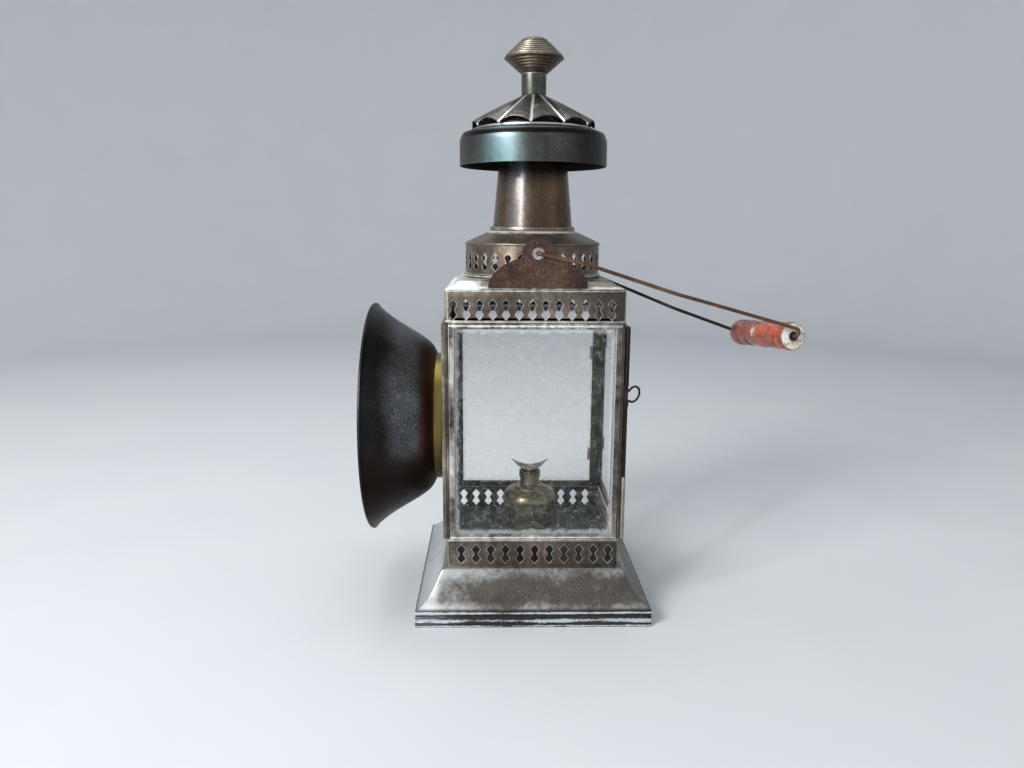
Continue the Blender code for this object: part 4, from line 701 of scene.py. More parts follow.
front_glass_finish = dusty_glass("dusty_front_glass", "front_glass", 0)
back_glass_finish = dusty_glass("dusty_back_glass", "back_glass", 0)
door_glass_finish = dusty_glass("dusty_door_glass", "door_glass", 1, 0.03)
neck_glass_finish = dusty_glass("dusty_neck_glass", "neck_glass", 1)
print("glass finishes:", [m.name for m in bpy.data.materials if "glass" in m.name])

# %% [markdown]
# ## Surfaces from grids of points
#
# Every new shape here is a function of two parameters, worked out on a whole grid at once with numpy. The
# grid's neighbours become four-sided faces. `add_surface` welds what meets at poles and seams, turns the
# faces outwards, shades it smooth up to a crease angle, and hangs it on its body in place of the solids.


# %% Grids to meshes
def grid_faces(rows, columns, close_rows=True, close_columns=True):
    """Quads between neighbours of a rows x columns grid, which may close on itself either way."""
    down = np.arange(rows if close_rows else rows - 1)
    along = np.arange(columns if close_columns else columns - 1)
    r, c = np.meshgrid(down, along, indexing="ij")
    r2, c2 = (r + 1) % rows, (c + 1) % columns
    corners = (r * columns + c, r * columns + c2, r2 * columns + c2, r2 * columns + c)
    return np.stack(corners, -1).reshape(-1, 4).tolist()


def mesh_of(name, points, faces=(), edges=()):
    mesh = bpy.data.meshes.new(name)
    mesh.from_pydata(points.reshape(-1, 3).tolist(), edges, faces)
    return mesh


def weld(mesh):
    """Joins the corners that meet, drops faces with no area, and turns the rest outwards."""
    shape = bmesh.new()
    shape.from_mesh(mesh)
    bmesh.ops.remove_doubles(shape, verts=shape.verts, dist=0.002 * MM)
    bmesh.ops.dissolve_degenerate(shape, edges=shape.edges, dist=0.001 * MM)
    bmesh.ops.recalc_face_normals(shape, faces=shape.faces)
    shape.to_mesh(mesh)
    shape.free()
    return mesh


def add_piece(name, mesh, look, node, crease_deg=38.0):
    """Links a finished mesh, gives it its finish, ties it to the body of the solid it replaces, and hides that
    solid.
    """
    mesh.materials.clear()
    mesh.materials.append(look)
    mesh.shade_smooth()
    mesh.set_sharp_from_angle(angle=math.radians(crease_deg))
    piece = bpy.data.objects.new(name, mesh)
    bpy.context.scene.collection.objects.link(piece)
    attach(piece, BODY_OF[node])
    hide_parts(node)
    return piece


def add_surface(name, points, faces, look, node, crease_deg=38.0):
    return add_piece(name, weld(mesh_of(name, points, faces)), look, node, crease_deg)


print("a 3 x 4 closed grid has", len(grid_faces(3, 4)), "faces")

# %% [markdown]
# ## Reading a section back from the solid model
#
# The turned solids are coarse, with a few dozen facets. Their section, the line that was spun, is exact,
# and it can be read back: take the points that lie in one half plane through the axis, and follow the
# mesh edges between them. `eased` then rounds the corners of that line. A shallow corner belongs to a
# curve, so it takes half of its shorter side and the curve becomes smooth. A sharp corner is a real edge of
# the sheet, so it only takes a small radius.

# %% Sections read from the solids
ORIGIN, UPWARDS = (0.0, 0.0, 0.0), (0.0, 0.0, 1.0)


def axes_about(axis):
    """Three unit directions: two square to the axis, and the axis itself."""
    up = np.array(axis) / np.linalg.norm(axis)
    side = np.cross(up, (0.0, 1.0, 0.0) if abs(up[1]) < 0.9 else (0.0, 0.0, 1.0))
    side /= np.linalg.norm(side)
    return side, np.cross(up, side), up


def rows_of(mesh, field="co"):
    """One row of three numbers for each vertex: its place, or its normal."""
    found = np.zeros(len(mesh.vertices) * 3)
    mesh.vertices.foreach_get(field, found)
    return found.reshape(-1, 3)


def section_of(node, centre=ORIGIN, axis=UPWARDS, at_deg=None):
    """Ordered (distance from the axis, height along it) points of a turned solid, and if the line is open."""
    data = frame["nodes"][node].data
    unique, index = np.unique(np.round(rows_of(data), 6), axis=0, return_inverse=True)
    corners = np.zeros(len(data.loops), int)
    data.loops.foreach_get("vertex_index", corners)
    triangles = index.reshape(-1)[corners].reshape(-1, 3)
    x, y, height = ((unique - np.array(centre)) @ direction for direction in axes_about(axis))
    reach, angle = np.hypot(x, y), np.arctan2(y, x)
    wanted = angle[np.argmax(reach)] if at_deg is None else math.radians(at_deg)
    off = np.abs(np.angle(np.exp(1j * (angle - wanted))))
    chosen = off * reach < 0.02 * MM
    edges = np.concatenate([triangles[:, [0, 1]], triangles[:, [1, 2]], triangles[:, [2, 0]]])
    edges = np.unique(np.sort(edges[chosen[edges].all(1)], axis=1), axis=0)
    neighbours = {}
    for a, b in edges.tolist():
        neighbours.setdefault(a, []).append(b)
        neighbours.setdefault(b, []).append(a)
    ends = [point for point, near in neighbours.items() if len(near) == 1]
    line = [ends[0] if ends else edges[0][0]]
    while True:
        step = [n for n in neighbours[line[-1]] if n not in line]
        if not step:
            break
        line.append(step[0])
    return np.stack([reach[line], height[line]], 1), bool(ends)


print("the hood's section has", len(section_of("hood")[0]), "points")


# %% Sections eased and spun
def eased(line, edge=0.35 * MM, shallow_deg=40.0, steps=4, closed=True):
    """Each corner becomes a quadratic curve: (1-t)^2 start + 2t(1-t) corner + t^2 end."""
    before, after = np.roll(line, 1, 0) - line, np.roll(line, -1, 0) - line
    if not closed:
        before[0], after[-1] = -after[0], -before[-1]
    long_before = np.linalg.norm(before, axis=1)[:, None]
    long_after = np.linalg.norm(after, axis=1)[:, None]
    shorter = np.minimum(long_before, long_after)
    cosine = (before * after).sum(1)[:, None] / (long_before * long_after)
    turn = 180.0 - np.degrees(np.arccos(np.clip(cosine, -1, 1)))
    reach = np.where(turn < shallow_deg, 0.49 * shorter, np.minimum(edge, 0.4 * shorter))
    if not closed:
        reach[[0, -1]] = 0.0
    t = np.linspace(0, 1, steps + 1)[None, :, None]
    start = (line + before / long_before * reach)[:, None]
    end = (line + after / long_after * reach)[:, None]
    curve = (1 - t) ** 2 * start + 2 * t * (1 - t) * line[:, None] + t ** 2 * end
    return curve.reshape(-1, line.shape[1])


def turned(line, turns, centre=ORIGIN, axis=UPWARDS, wobble=0.0):
    """Spins a section about an axis: centre + distance * direction(angle) + height * axis.

    wobble draws the surface in by up to that much, in slow waves, as hand-worked sheet is.
    """
    side, other, up = axes_about(axis)
    angle = np.linspace(0, 2 * np.pi, turns, endpoint=False)[None, :]
    reach, height = line[:, :1], line[:, 1:]
    wave = np.sin(3 * angle + 40 * height) + np.sin(5 * angle - 90 * height + 1) + np.sin(8 * angle + 2)
    reach = reach - wobble * (0.5 + wave / 6) * (reach > 2 * MM)
    spoke = np.cos(angle)[..., None] * side + np.sin(angle)[..., None] * other
    return np.array(centre) + reach[..., None] * spoke + height[..., None] * up


def spin(name, node, look, turns=144, edge=0.35 * MM, centre=ORIGIN, axis=UPWARDS, at_deg=None, wobble=0.0,
         crease_deg=38.0, steps=4):
    """Replaces a turned solid by its own section, eased and spun finely."""
    line, open_ended = section_of(node, centre, axis, at_deg)
    if open_ended:
        line = np.vstack([[[0.0, line[0][1]]], line, [[0.0, line[-1][1]]]])
    line = eased(line, edge, steps=steps, closed=not open_ended)
    faces = grid_faces(len(line), turns, close_rows=not open_ended)
    return add_surface(name, turned(line, turns, centre, axis, wobble), faces, look, node, crease_deg)


print("one corner becomes", len(eased(np.array([[0, 0], [1, 0], [1, 1.0]]), closed=False)) // 3, "points")

# %% [markdown]
# ## Chimney, hood and finial
#
# These are spun on a lathe or rolled from sheet. Each takes one call. The rolled pieces get a little wobble,
# drawn inwards by a third of a millimetre, so that their reflections waver like those of real sheet.

# %% Spin the pieces round the lantern's own axis
spin("chimney", "chimney_tube", chimney_finish, wobble=0.3 * MM)
spin("chimney_ring", "chimney_foot_ring", foot_ring_finish, edge=0.8 * MM)
spin("shoulder", "drum_shoulder", shoulder_finish, edge=0.5 * MM, wobble=0.2 * MM)
spin("hood_shell", "hood", hood_finish, 180, edge=0.6 * MM, wobble=0.25 * MM)
spin("stem", "finial_stem", stem_finish, 72)
spin("tie_rod", "finial_rod", fitting_finish, 32)

# %% [markdown]
# The knob is turned from the solid, with a row of steps above its rim and a few shallower ones below. Steps
# are treads and risers between two points of the profile: each riser keeps the radius, and each tread steps
# in with a small undercut, which is where the pale dirt stays.


# %% The turned knob
def steps_between(start, end, count, undercut):
    """(radius, height) points of a stair from start to end, with an undercut at the foot of each riser."""
    run = (np.array(end) - np.array(start)) / count
    corner = np.array(start) + run * np.arange(count)[:, None]
    riser_top = corner + [0.0, 1.0] * run * 0.62
    notch = corner + run * [1.0, 0.78] - [undercut, 0.0]
    return np.stack([corner, riser_top, notch], 1).reshape(-1, 2)


KNOB_WIDE = span("finial_knob", 0)[1]
KNOB_TURNS = 96


def knob_at(radius_share, height_share):
    return [KNOB_WIDE * radius_share, KNOB[0] + (KNOB[1] - KNOB[0]) * height_share]


below = np.array([[0.0, KNOB[0]], knob_at(0.44, 0.0), knob_at(0.53, 0.06), knob_at(0.60, 0.11)])
lower_steps = steps_between(knob_at(0.62, 0.12), knob_at(0.96, 0.385), 4, 0.3 * MM)
rim = np.array([knob_at(1.0, 0.40), knob_at(1.0, 0.435)])
upper_steps = steps_between(knob_at(0.96, KNOB_STEPPED[0]), knob_at(0.50, KNOB_STEPPED[1]), KNOB_STEPS, 0.9 * MM)
dome = np.array([knob_at(math.sin(a) * 0.47, 0.85 + 0.15 * math.cos(a)) for a in np.linspace(1.55, 0, 11)])
knob_line = eased(np.vstack([below, lower_steps, rim, upper_steps, dome]), 0.22 * MM, 25.0, 3, closed=False)
add_surface("knob", turned(knob_line, KNOB_TURNS), grid_faces(len(knob_line), KNOB_TURNS, close_rows=False),
            knob_finish, "finial_knob", 40.0)
print("knob profile points", len(knob_line))

# %% [markdown]
# ## The bell
#
# The bell and its collar turn about a level axis that runs along X through the middle of the bell. The
# same function spins them, with that axis given.

# %% Spin the bell, its collar, its glass and the ring that holds it
ABOUT_BELL = {"centre": (0.0, 0.0, BELL_MIDDLE), "axis": (-1.0, 0.0, 0.0)}
spin("bell", "reflector_bell", bell_finish, 200, edge=0.4 * MM, wobble=0.35 * MM, crease_deg=60.0, steps=5,
     **ABOUT_BELL)
spin("collar", "bell_collar", olive_finish, **ABOUT_BELL)
spin("neck_pane", "neck_glass", neck_glass_finish, 120, edge=0.4 * MM, **ABOUT_BELL)
spin("glass_ring", "neck_glass_ring", fitting_finish, 120, edge=0.4 * MM, crease_deg=80.0, **ABOUT_BELL)
print("bell middle at", round(BELL_MIDDLE / MM, 1), "mm")

# %% [markdown]
# ## The fluted cap
#
# The cap is one disc of sheet, hammered over a form into twelve lobes that meet in sharp valleys. Its
# height is a function of two parameters: the share of the way out, which makes the slope, and the angle,
# which makes the lobes. The lobes grow with the share, so they are flat at the stem and highest at the rim.

# %% The cap as height over share and angle
CAP_RIM = span("fluted_cap", 0)[1]
CAP_FLAT, CAP_BORE = 12.2 * MM, 2.8 * MM
CAP_SHEET, CAP_LIFT = 0.8 * MM, 5.2 * MM
CAP_FALL = CAP[1] - CAP[0] - CAP_SHEET
LOBE_STEPS = 16


def cap_height(share, angle):
    """Fall along the share, plus a lobe: |sin(6 angle)| to the power 0.8, which leaves the valleys sharp."""
    arch = np.abs(np.sin(CAP_LOBES / 2 * angle)) ** 0.8
    crown = 0.35 * MM * np.sin(np.pi * share) * arch
    return CAP[1] + np.maximum(share, 0) * (CAP_LIFT * arch - CAP_FALL) + crown


share = np.concatenate([[(CAP_BORE - CAP_FLAT) / (CAP_RIM - CAP_FLAT)], np.linspace(0, 1, 28)])
lobe = np.linspace(0, 2 * np.pi, CAP_LOBES * LOBE_STEPS, endpoint=False)
share_grid, lobe_grid = np.meshgrid(share, lobe, indexing="ij")
cap_reach = CAP_FLAT + share_grid * (CAP_RIM - CAP_FLAT)
cap_turn = lobe_grid + math.radians(CAP_TURN_DEG - 90)
cap_over = np.stack(
    [cap_reach * np.cos(cap_turn), cap_reach * np.sin(cap_turn), cap_height(share_grid, lobe_grid)], -1,
)
cap_points = np.concatenate([cap_over, cap_over[::-1] - [0.0, 0.0, CAP_SHEET]])
add_surface("cap", cap_points, grid_faces(len(cap_points), len(lobe)), cap_finish, "fluted_cap", 55.0)
print("cap rim", round(CAP_RIM / MM, 1), "mm, fall", round(CAP_FALL / MM, 1), "mm")

# %% [markdown]
# ## Square pieces
#
# The plinth and the roof are the same idea with a square in place of the circle. Each point of a rounded
# square is a point of a smaller sharp square plus a step along its normal, so a whole ring is
# core * (half - radius) + normal * radius, and a section carried round it is again one array.


# %% Carry a section round a rounded square
def square_round(per_side, corner_steps=5):
    """Cores and normals of a rounded square, from the start of its +X side on."""
    along = np.linspace(-1, 1, per_side + 1)
    bend = np.linspace(0, np.pi / 2, corner_steps + 1)[1:-1]
    side = np.vstack([np.stack([np.ones_like(along), along], 1), np.ones((len(bend), 2))])
    facing = np.vstack([np.tile([[1.0, 0.0]], (len(along), 1)), np.stack([np.cos(bend), np.sin(bend)], 1)])
    quarters = np.pi / 2 * np.arange(4)
    rotate = np.array([[np.cos(quarters), np.sin(quarters)], [-np.sin(quarters), np.cos(quarters)]])
    return [np.vstack([part @ rotate[..., quarter] for quarter in range(4)]) for part in (side, facing)]


def carried_square(line, corner, per_side=24, roundness=None):
    """Rings of a (half width, height) section. roundness goes from 0, square, to 1, a circle, at each point."""
    core, normal = square_round(per_side)
    half, height = line[:, :1, None], line[:, 1:]
    inner = np.minimum(corner, half)
    ring = core[None] * (half - inner) + normal[None] * inner
    if roundness is not None:
        direction = np.arctan2(core[:, 1], core[:, 0])
        round_ring = half * np.stack([np.cos(direction), np.sin(direction)], -1)[None]
        ring = ring + (round_ring - ring) * roundness[:, None, None]
    level = np.broadcast_to(height[..., None], (*ring.shape[:2], 1))
    return np.concatenate([ring, level], -1)


plinth_line, _ = section_of("base_plinth", at_deg=45.0)
plinth_line[:, 0] /= math.sqrt(2)
plinth_points = carried_square(eased(plinth_line, 0.5 * MM), 1.2 * MM)
plinth = add_surface(
    "plinth", plinth_points, grid_faces(*plinth_points.shape[:2]), plinth_finish, "base_plinth", 42.0,
)
print("plinth grid", plinth_points.shape[:2])

# %% [markdown]
# The door's bolt drops into a small hole in the ledge, which was drilled after the base was folded. A Boolean
# takes a cylinder away in the same order. Its result is read back as a plain mesh, and the drill is removed.


# %% Drill the ledge for the bolt
def drilled(piece, x, y, radius, low, high):
    """Takes a cylinder between two heights away from a piece, and keeps the result as its mesh."""
    shape = bmesh.new()
    middle = Matrix.Translation((x, y, (low + high) / 2))
    bmesh.ops.create_cone(
        shape, cap_ends=True, segments=32, radius1=radius, radius2=radius, depth=high - low, matrix=middle,
    )
    bit = bpy.data.objects.new("drill", bpy.data.meshes.new("drill"))
    shape.to_mesh(bit.data)
    shape.free()
    bpy.context.scene.collection.objects.link(bit)
    cut = piece.modifiers.new("hole", "BOOLEAN")
    cut.object, cut.operation, cut.solver = bit, "DIFFERENCE", "EXACT"
    bpy.context.view_layer.update()
    piece.data = bpy.data.meshes.new_from_object(piece.evaluated_get(bpy.context.evaluated_depsgraph_get()))
    piece.modifiers.remove(cut)
    bpy.data.objects.remove(bit)
    piece.data.set_sharp_from_angle(angle=math.radians(42.0))


BOLT_X, BOLT_Y = JOINT["latch_bolt_slide"]["pos_m"][:2]
BOLT_HOLE = 1.3 * MM
before = len(plinth.data.vertices)
drilled(plinth, BOLT_X, BOLT_Y, BOLT_HOLE, LEDGE_HEIGHT - 3 * MM, LEDGE_HEIGHT + 2 * MM)
print("plinth points", before, "and with the hole", len(plinth.data.vertices))

# %% [markdown]
# The roof is a square that ends in a round hole under the drum. Its rings begin square at the eaves and turn
# into circles at the hole, by the roundness of each ring. The section goes in over the top and out below.

# %% The roof
ROOF_HOLE, ROOF_SHEET = 61.1 * MM, 0.8 * MM
EAVES = span("roof_plate", 0)[1]


def roof_profile(corners):
    """(half width, height) points from millimetres inwards from the eaves and upwards from the roof's foot."""
    return [EAVES, ROOF[0]] + np.array(corners) * [-MM, MM]


ROOF_RISE = (ROOF[1] - ROOF[0]) / MM
roof_over = roof_profile([(0.8, 0), (0, 0), (0, 0.7), (0.8, 1.5), (3.5, 1.5), (11.2, ROOF_RISE), (14, ROOF_RISE)])
roof_low = ROOF_RISE - ROOF_SHEET / MM
roof_under = roof_profile([(14, roof_low), (11, roof_low), (3.8, 0.7), (1.4, 0.7)])
hole_rim = np.array([[ROOF_HOLE, ROOF[1]], [ROOF_HOLE, ROOF[1] - ROOF_SHEET]])
roof_line = np.vstack([eased(roof_over, 0.3 * MM, closed=False), hole_rim, roof_under])
roof_points = carried_square(roof_line, 1.5 * MM, 32, (roof_line[:, 0] == ROOF_HOLE).astype(float))
add_surface("roof", roof_points, grid_faces(*roof_points.shape[:2]), roof_finish, "roof_plate", 30.0)
print("roof rings", len(roof_points))

# %% [markdown]
# ## Folded and pierced pieces
#
# The galleries, frames, posts and hinges are right in the solid model except for one thing: no folded edge is
# perfectly sharp, and a sharp edge catches no light. `dressed` welds a copy of the solid's loose triangles
# and gives it a narrow Bevel on its real edges only, so that each fold draws its own bright line. On the
# pierced bands those narrow faces take a second, bright finish: rubbed metal with painted highlights.


# %% Copies of solids with softened edges
def welded(node):
    """A new mesh with the solid's corners joined, so that modifiers see its edges."""
    mesh = frame["nodes"][node].data.copy()
    mesh.name = node + "_surface"
    weld(mesh)
    if "custom_normal" in mesh.attributes:
        mesh.attributes.remove(mesh.attributes["custom_normal"])
    return mesh


def soften(piece, width, angle_deg=35.0, rubbed_and_highlit=None):
    """Bevels the real edges. The optional second finish goes on the narrow bevel faces: rubbed metal with painted
    highlights.
    """
    step = piece.modifiers.new("soft_edges", "BEVEL")
    if rubbed_and_highlit:
        piece.data.materials.append(rubbed_and_highlit)
        step.material = 1
    step.width, step.segments = width, 2
    step.limit_method, step.angle_limit = "ANGLE", math.radians(angle_deg)
    step.harden_normals = False


def dressed(node, look, width, rubbed_and_highlit=None):
    """The solid's own shape with its edges bevelled by width."""
    soften(add_piece(node + "_dressed", welded(node), look, node, 60.0), width, rubbed_and_highlit=rubbed_and_highlit)


RIM_WIDTH = 0.26 * MM
dressed("lower_gallery", lower_band_finish, RIM_WIDTH, rim_wear_and_highlight_finish)
dressed("upper_gallery", upper_band_finish, RIM_WIDTH, rim_wear_and_highlight_finish)
dressed("front_window_frame", frame_finish, 0.22 * MM)
dressed("back_window_frame", post_finish, 0.22 * MM)
dressed("door_frame", door_painted_shade_finish, 0.3 * MM)
for corner in ("front_left", "front_right", "back_left", "back_right"):
    dressed("corner_post_" + corner, post_finish, 0.25 * MM)
dressed("left_panel", panel_finish, 0.3 * MM)
for node in ("upper_hinge_body_leaf", "upper_hinge_door_leaf", "lower_hinge_body_leaf", "lower_hinge_door_leaf"):
    dressed(node, fitting_finish, 0.15 * MM)
for number in (1, 2, 3):
    dressed(f"hood_stay_{number}", inside_finish, 0.15 * MM)
dressed("finial_nut", fitting_finish, 0.3 * MM)

# %% [markdown]
# ## The round gallery
#
# The solid drum is a polygon of thirty-two flats with one hole each. On the real one the band is rolled
# after it is pierced, so it is truly round. Each point moves along its own radius until its distance is the
# one that the middle of its flat has: distance * cos(angle from the middle of the flat).

# %% Roll the drum gallery round
FLAT = 2 * np.pi / 32
drum_mesh = welded("drum_gallery")
drum_places = rows_of(drum_mesh)
drum_angle = np.arctan2(drum_places[:, 1], drum_places[:, 0]) + np.pi / 2
from_middle = drum_angle - np.round(drum_angle / FLAT) * FLAT
drum_places[:, :2] *= np.cos(from_middle)[:, None]
drum_mesh.vertices.foreach_set("co", drum_places.ravel())
drum_mesh.update()
drum = add_piece("round_gallery", drum_mesh, drum_finish, "drum_gallery", 45.0)
soften(drum, RIM_WIDTH, 45.0, rim_wear_and_highlight_finish)
print("drum radius", round(float(np.hypot(drum_places[:, 0], drum_places[:, 1]).max() / MM), 2), "mm")

# %% [markdown]
# ## Small turned parts
#
# The tubes on the door, the hinge pins, the washers and the parts of the generator are all turned. Each one
# is spun about the middle of its own solid, and the axis is the only thing that differs.


# %% Spin the small parts
def middle_of(node):
    low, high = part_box(node)
    return tuple((low + high) / 2)


for node, look, turns, edge, axis in (
    ("latch_tube_lower", fitting_finish, 40, 0.15 * MM, UPWARDS),
    ("latch_tube_upper", fitting_in_painted_shade_finish, 40, 0.15 * MM, UPWARDS),
    ("lower_hinge_pin", fitting_finish, 32, 0.3 * MM, UPWARDS),
    ("upper_hinge_pin", fitting_finish, 32, 0.3 * MM, UPWARDS),
    ("eye_washer_front", washer_finish, 40, 0.15 * MM, (0.0, 1.0, 0.0)),
    ("eye_washer_back", washer_finish, 40, 0.15 * MM, (0.0, 1.0, 0.0)),
):
    spin(node + "_round", node, look, turns, edge=edge, centre=middle_of(node), axis=axis)
spin("valve", "water_valve", fitting_finish, 32, edge=0.3 * MM, centre=middle_of("water_valve"))
spin("lid", "tank_lid", burner_finish, 96, edge=0.5 * MM, at_deg=90.0)
spin("canister", "carbide_canister", can_finish, 96, edge=0.4 * MM, at_deg=0.0)
spin("tank", "water_tank", can_finish, 96, edge=0.4 * MM, at_deg=0.0)
spin("seat_ring", "generator_seat", can_finish, 96, edge=0.3 * MM)
spin("gasket", "canister_gasket", rubber_finish, 96, edge=0.5 * MM)
spin("pipe", "gas_pipe", burner_finish, 32, edge=0.2 * MM)
print("lid section ends at", round(span("tank_lid")[1] / MM, 1), "mm")

# %% [markdown]
# ## The burner
#
# The gas column has a slot sawn across its top, and on it sits a crescent of thin brass: a pointed leaf,
# dished across its width, whose two tips rise towards each other. It is a grid in u along the leaf and v
# across it. Its half width falls as 1 - u^2, so the rows close to a point at both tips.

# %% The slotted column and the crescent
COLUMN_TOP = span("gas_column")[1]
SLOT_HALF, SLOT_DEPTH = 1.5 * MM, 7.0 * MM
column_points = turned(eased(section_of("gas_column", at_deg=90.0)[0], 0.3 * MM), 192)
in_slot = np.abs(column_points[..., 1]) < SLOT_HALF
column_points[..., 2] = np.minimum(column_points[..., 2], np.where(in_slot, COLUMN_TOP - SLOT_DEPTH, COLUMN_TOP))
add_surface("slotted_column", column_points, grid_faces(*column_points.shape[:2]), burner_finish, "gas_column")

LEAF_LENGTH = span("burner_crescent", 0)[1]
LEAF_FOOT = span("burner_crescent")[0]
LEAF_HALF, LEAF_SHEET = 8.6 * MM, 1.2 * MM
LEAF_RISE, LEAF_DISH = 11.0 * MM, 2.4 * MM
u, v = np.meshgrid(np.linspace(-1, 1, 65), np.linspace(-1, 1, 21), indexing="ij")
leaf_wide = LEAF_HALF * np.maximum(1 - u ** 2, 0) ** 0.9
leaf_lift = LEAF_FOOT + LEAF_RISE * u ** 2 + LEAF_DISH * v ** 2 * (1 - u ** 2)
leaf_thick = LEAF_SHEET * (1 - 0.35 * v ** 2) * (1 - 0.4 * u ** 2)
leaf_low = np.stack([LEAF_LENGTH * u, leaf_wide * v, leaf_lift + (LEAF_SHEET - leaf_thick) / 2], -1)
leaf_high = leaf_low + np.stack([0 * u, 0 * u, leaf_thick], -1)
leaf_points = np.concatenate([leaf_high, leaf_low[:, ::-1]], axis=1)
leaf_faces = grid_faces(*leaf_points.shape[:2], close_rows=False)
soften(add_surface("crescent", leaf_points, leaf_faces, leaf_finish, "burner_crescent", 50.0), 0.2 * MM)
print("crescent", leaf_points.shape)

# %% [markdown]
# ## Wires
#
# The bail is bent from round wire. Its solid is an eight-sided tube along the right path, so a Subsurf
# modifier rounds both the section and the bends. It also draws an eight-sided ring in to 0.902 of its radius,
# so the copy's points first move out along their normals by what it will take away.

# %% The bail and its grip
BAIL_WIRE, DRAWN_IN = 1.75 * MM, 0.902
bail_mesh = welded("bail_wire")
bail_places = rows_of(bail_mesh) + rows_of(bail_mesh, "normal") * BAIL_WIRE * (1 / DRAWN_IN - 1)
bail_mesh.vertices.foreach_set("co", bail_places.ravel())
bail_mesh.update()
rounding = add_piece("bail", bail_mesh, wire_finish, "bail_wire", 180.0).modifiers.new("round", "SUBSURF")
rounding.levels = rounding.render_levels = 2
spin("grip", "bail_grip", wood_finish, 96, edge=0.7 * MM, centre=tuple(GRIP_MIDDLE), axis=tuple(GRIP_AXIS))
print("bail points", len(bail_mesh.vertices))

# %% [markdown]
# The bolt's finger loop is a tilted oval in the plane across the door's edge. Its path is the straight wire,
# most of an ellipse, and the straight wire again. A frame carried along the path makes the tube: at each
# point one direction stays square to the loop's plane and the other is their cross product.


# %% The bolt
def tube_along(path, radius, flat_normal, sides=16):
    """Rings round a plane path: centre + radius * (cos * normal + sin * (tangent x normal)), its ends closed."""
    tangent = np.gradient(path, axis=0)
    tangent /= np.linalg.norm(tangent, axis=1)[:, None]
    across = np.cross(tangent, flat_normal)
    angle = np.linspace(0, 2 * np.pi, sides, endpoint=False)
    ring = np.cos(angle)[None, :, None] * np.array(flat_normal) + np.sin(angle)[None, :, None] * across[:, None]
    rings = path[:, None] + radius * ring
    out = tangent[[0, -1], None] * 0.35 * radius * np.array([-1, 1])[:, None, None]
    blunt = path[[0, -1], None] + 0.7 * radius * ring[[0, -1]] + out
    ends = np.repeat(path[[0, -1], None], sides, 1) + out
    return np.concatenate([ends[:1], blunt[:1], rings, blunt[1:], ends[1:]])


BOLT_WIRE = 1.0 * MM
BOLT_LOW, BOLT_HIGH = span("latch_bolt")
LOOP_MIDDLE, LOOP_OUT = BOLT_LOW + 136 * MM, 6.4 * MM
LOOP_LONG, LOOP_SHORT, LOOP_TILT = 7.3 * MM, 4.9 * MM, math.radians(70)
LOOP_GAP = 2.5 * MM
sweep_angle = np.radians(np.linspace(148, 452, 49))
oval_long, oval_short = LOOP_LONG * np.cos(sweep_angle), LOOP_SHORT * np.sin(sweep_angle)
oval_x = LOOP_OUT + oval_long * math.cos(LOOP_TILT) - oval_short * math.sin(LOOP_TILT)
oval_z = LOOP_MIDDLE + oval_long * math.sin(LOOP_TILT) + oval_short * math.cos(LOOP_TILT)
foot_z = np.linspace(BOLT_LOW, oval_z[0] - LOOP_GAP, 12)
head_z = np.linspace(oval_z[-1] + LOOP_GAP, BOLT_HIGH, 12)
path_x = np.concatenate([0 * foot_z, oval_x, 0 * head_z]) + BOLT_X
bolt_path = np.stack([path_x, 0 * path_x + BOLT_Y, np.concatenate([foot_z, oval_z, head_z])], 1)
for _ in range(3):
    bolt_path[1:-1] = (bolt_path[:-2] + 2 * bolt_path[1:-1] + bolt_path[2:]) / 4
bolt_points = tube_along(bolt_path, BOLT_WIRE, (0.0, 1.0, 0.0))
bolt_faces = grid_faces(*bolt_points.shape[:2], close_rows=False)
add_surface("bolt", bolt_points, bolt_faces, fitting_in_painted_shade_finish, "latch_bolt", 60.0)
print("bolt loop reaches", round(float(bolt_path[:, 0].max() / MM), 1), "mm")

# %% [markdown]
# ## The ears
#
# Each ear is cut from plate: half an ellipse with a round lobe on top, in which the eye is drilled, and a foot
# bent inwards onto the roof. Its outline is the outer envelope of the two curves. The face is filled between
# the outline and the eye and pushed inwards by the plate's thickness. The foot is a bent strip: its section
# carried straight along the ear.

# %% Two ears
EAR_MIDDLE = 2.0 * MM
EAR_WING, EAR_TALL = 43.5 * MM, 27.5 * MM
EAR_LOBE, EAR_LOBE_UP = 14.8 * MM, 27.9 * MM
EAR_EYE, EAR_EYE_UP = 2.15 * MM, 29.9 * MM
EAR_PLATE, EAR_FOOT_HALF = 1.2 * MM, 30.0 * MM
EAR_LOW = span("bail_ear_front")[0]
ROOF_SLOPE = 6.2 / 7.7


def ear_outline(steps=120):
    """Points of the half ellipse, replaced by the lobe's circle where that one reaches further out."""
    x = EAR_WING * np.cos(np.linspace(0, np.pi, steps))
    wing = np.stack([x, EAR_TALL * np.sqrt(np.maximum(1 - (x / EAR_WING) ** 2, 0))], 1)
    turn = np.linspace(0, np.pi, steps // 2)
    lobe = np.stack([EAR_LOBE * np.cos(turn), EAR_LOBE_UP + EAR_LOBE * np.sin(turn)], 1)
    return np.vstack([wing[x > EAR_LOBE], lobe, wing[x < -EAR_LOBE]])


def foot_section(face_y, tip):
    """(distance out, height) corners of the foot: level from the plate, then along the roof's slope."""
    tread, bend = face_y - EAR_PLATE / 2, EAVES - 3.2 * MM
    below = [(tread, 0), (bend, 0), (tip, (bend - tip) * ROOF_SLOPE)]
    return np.array(below + [(y, z + EAR_PLATE) for y, z in below[::-1]])


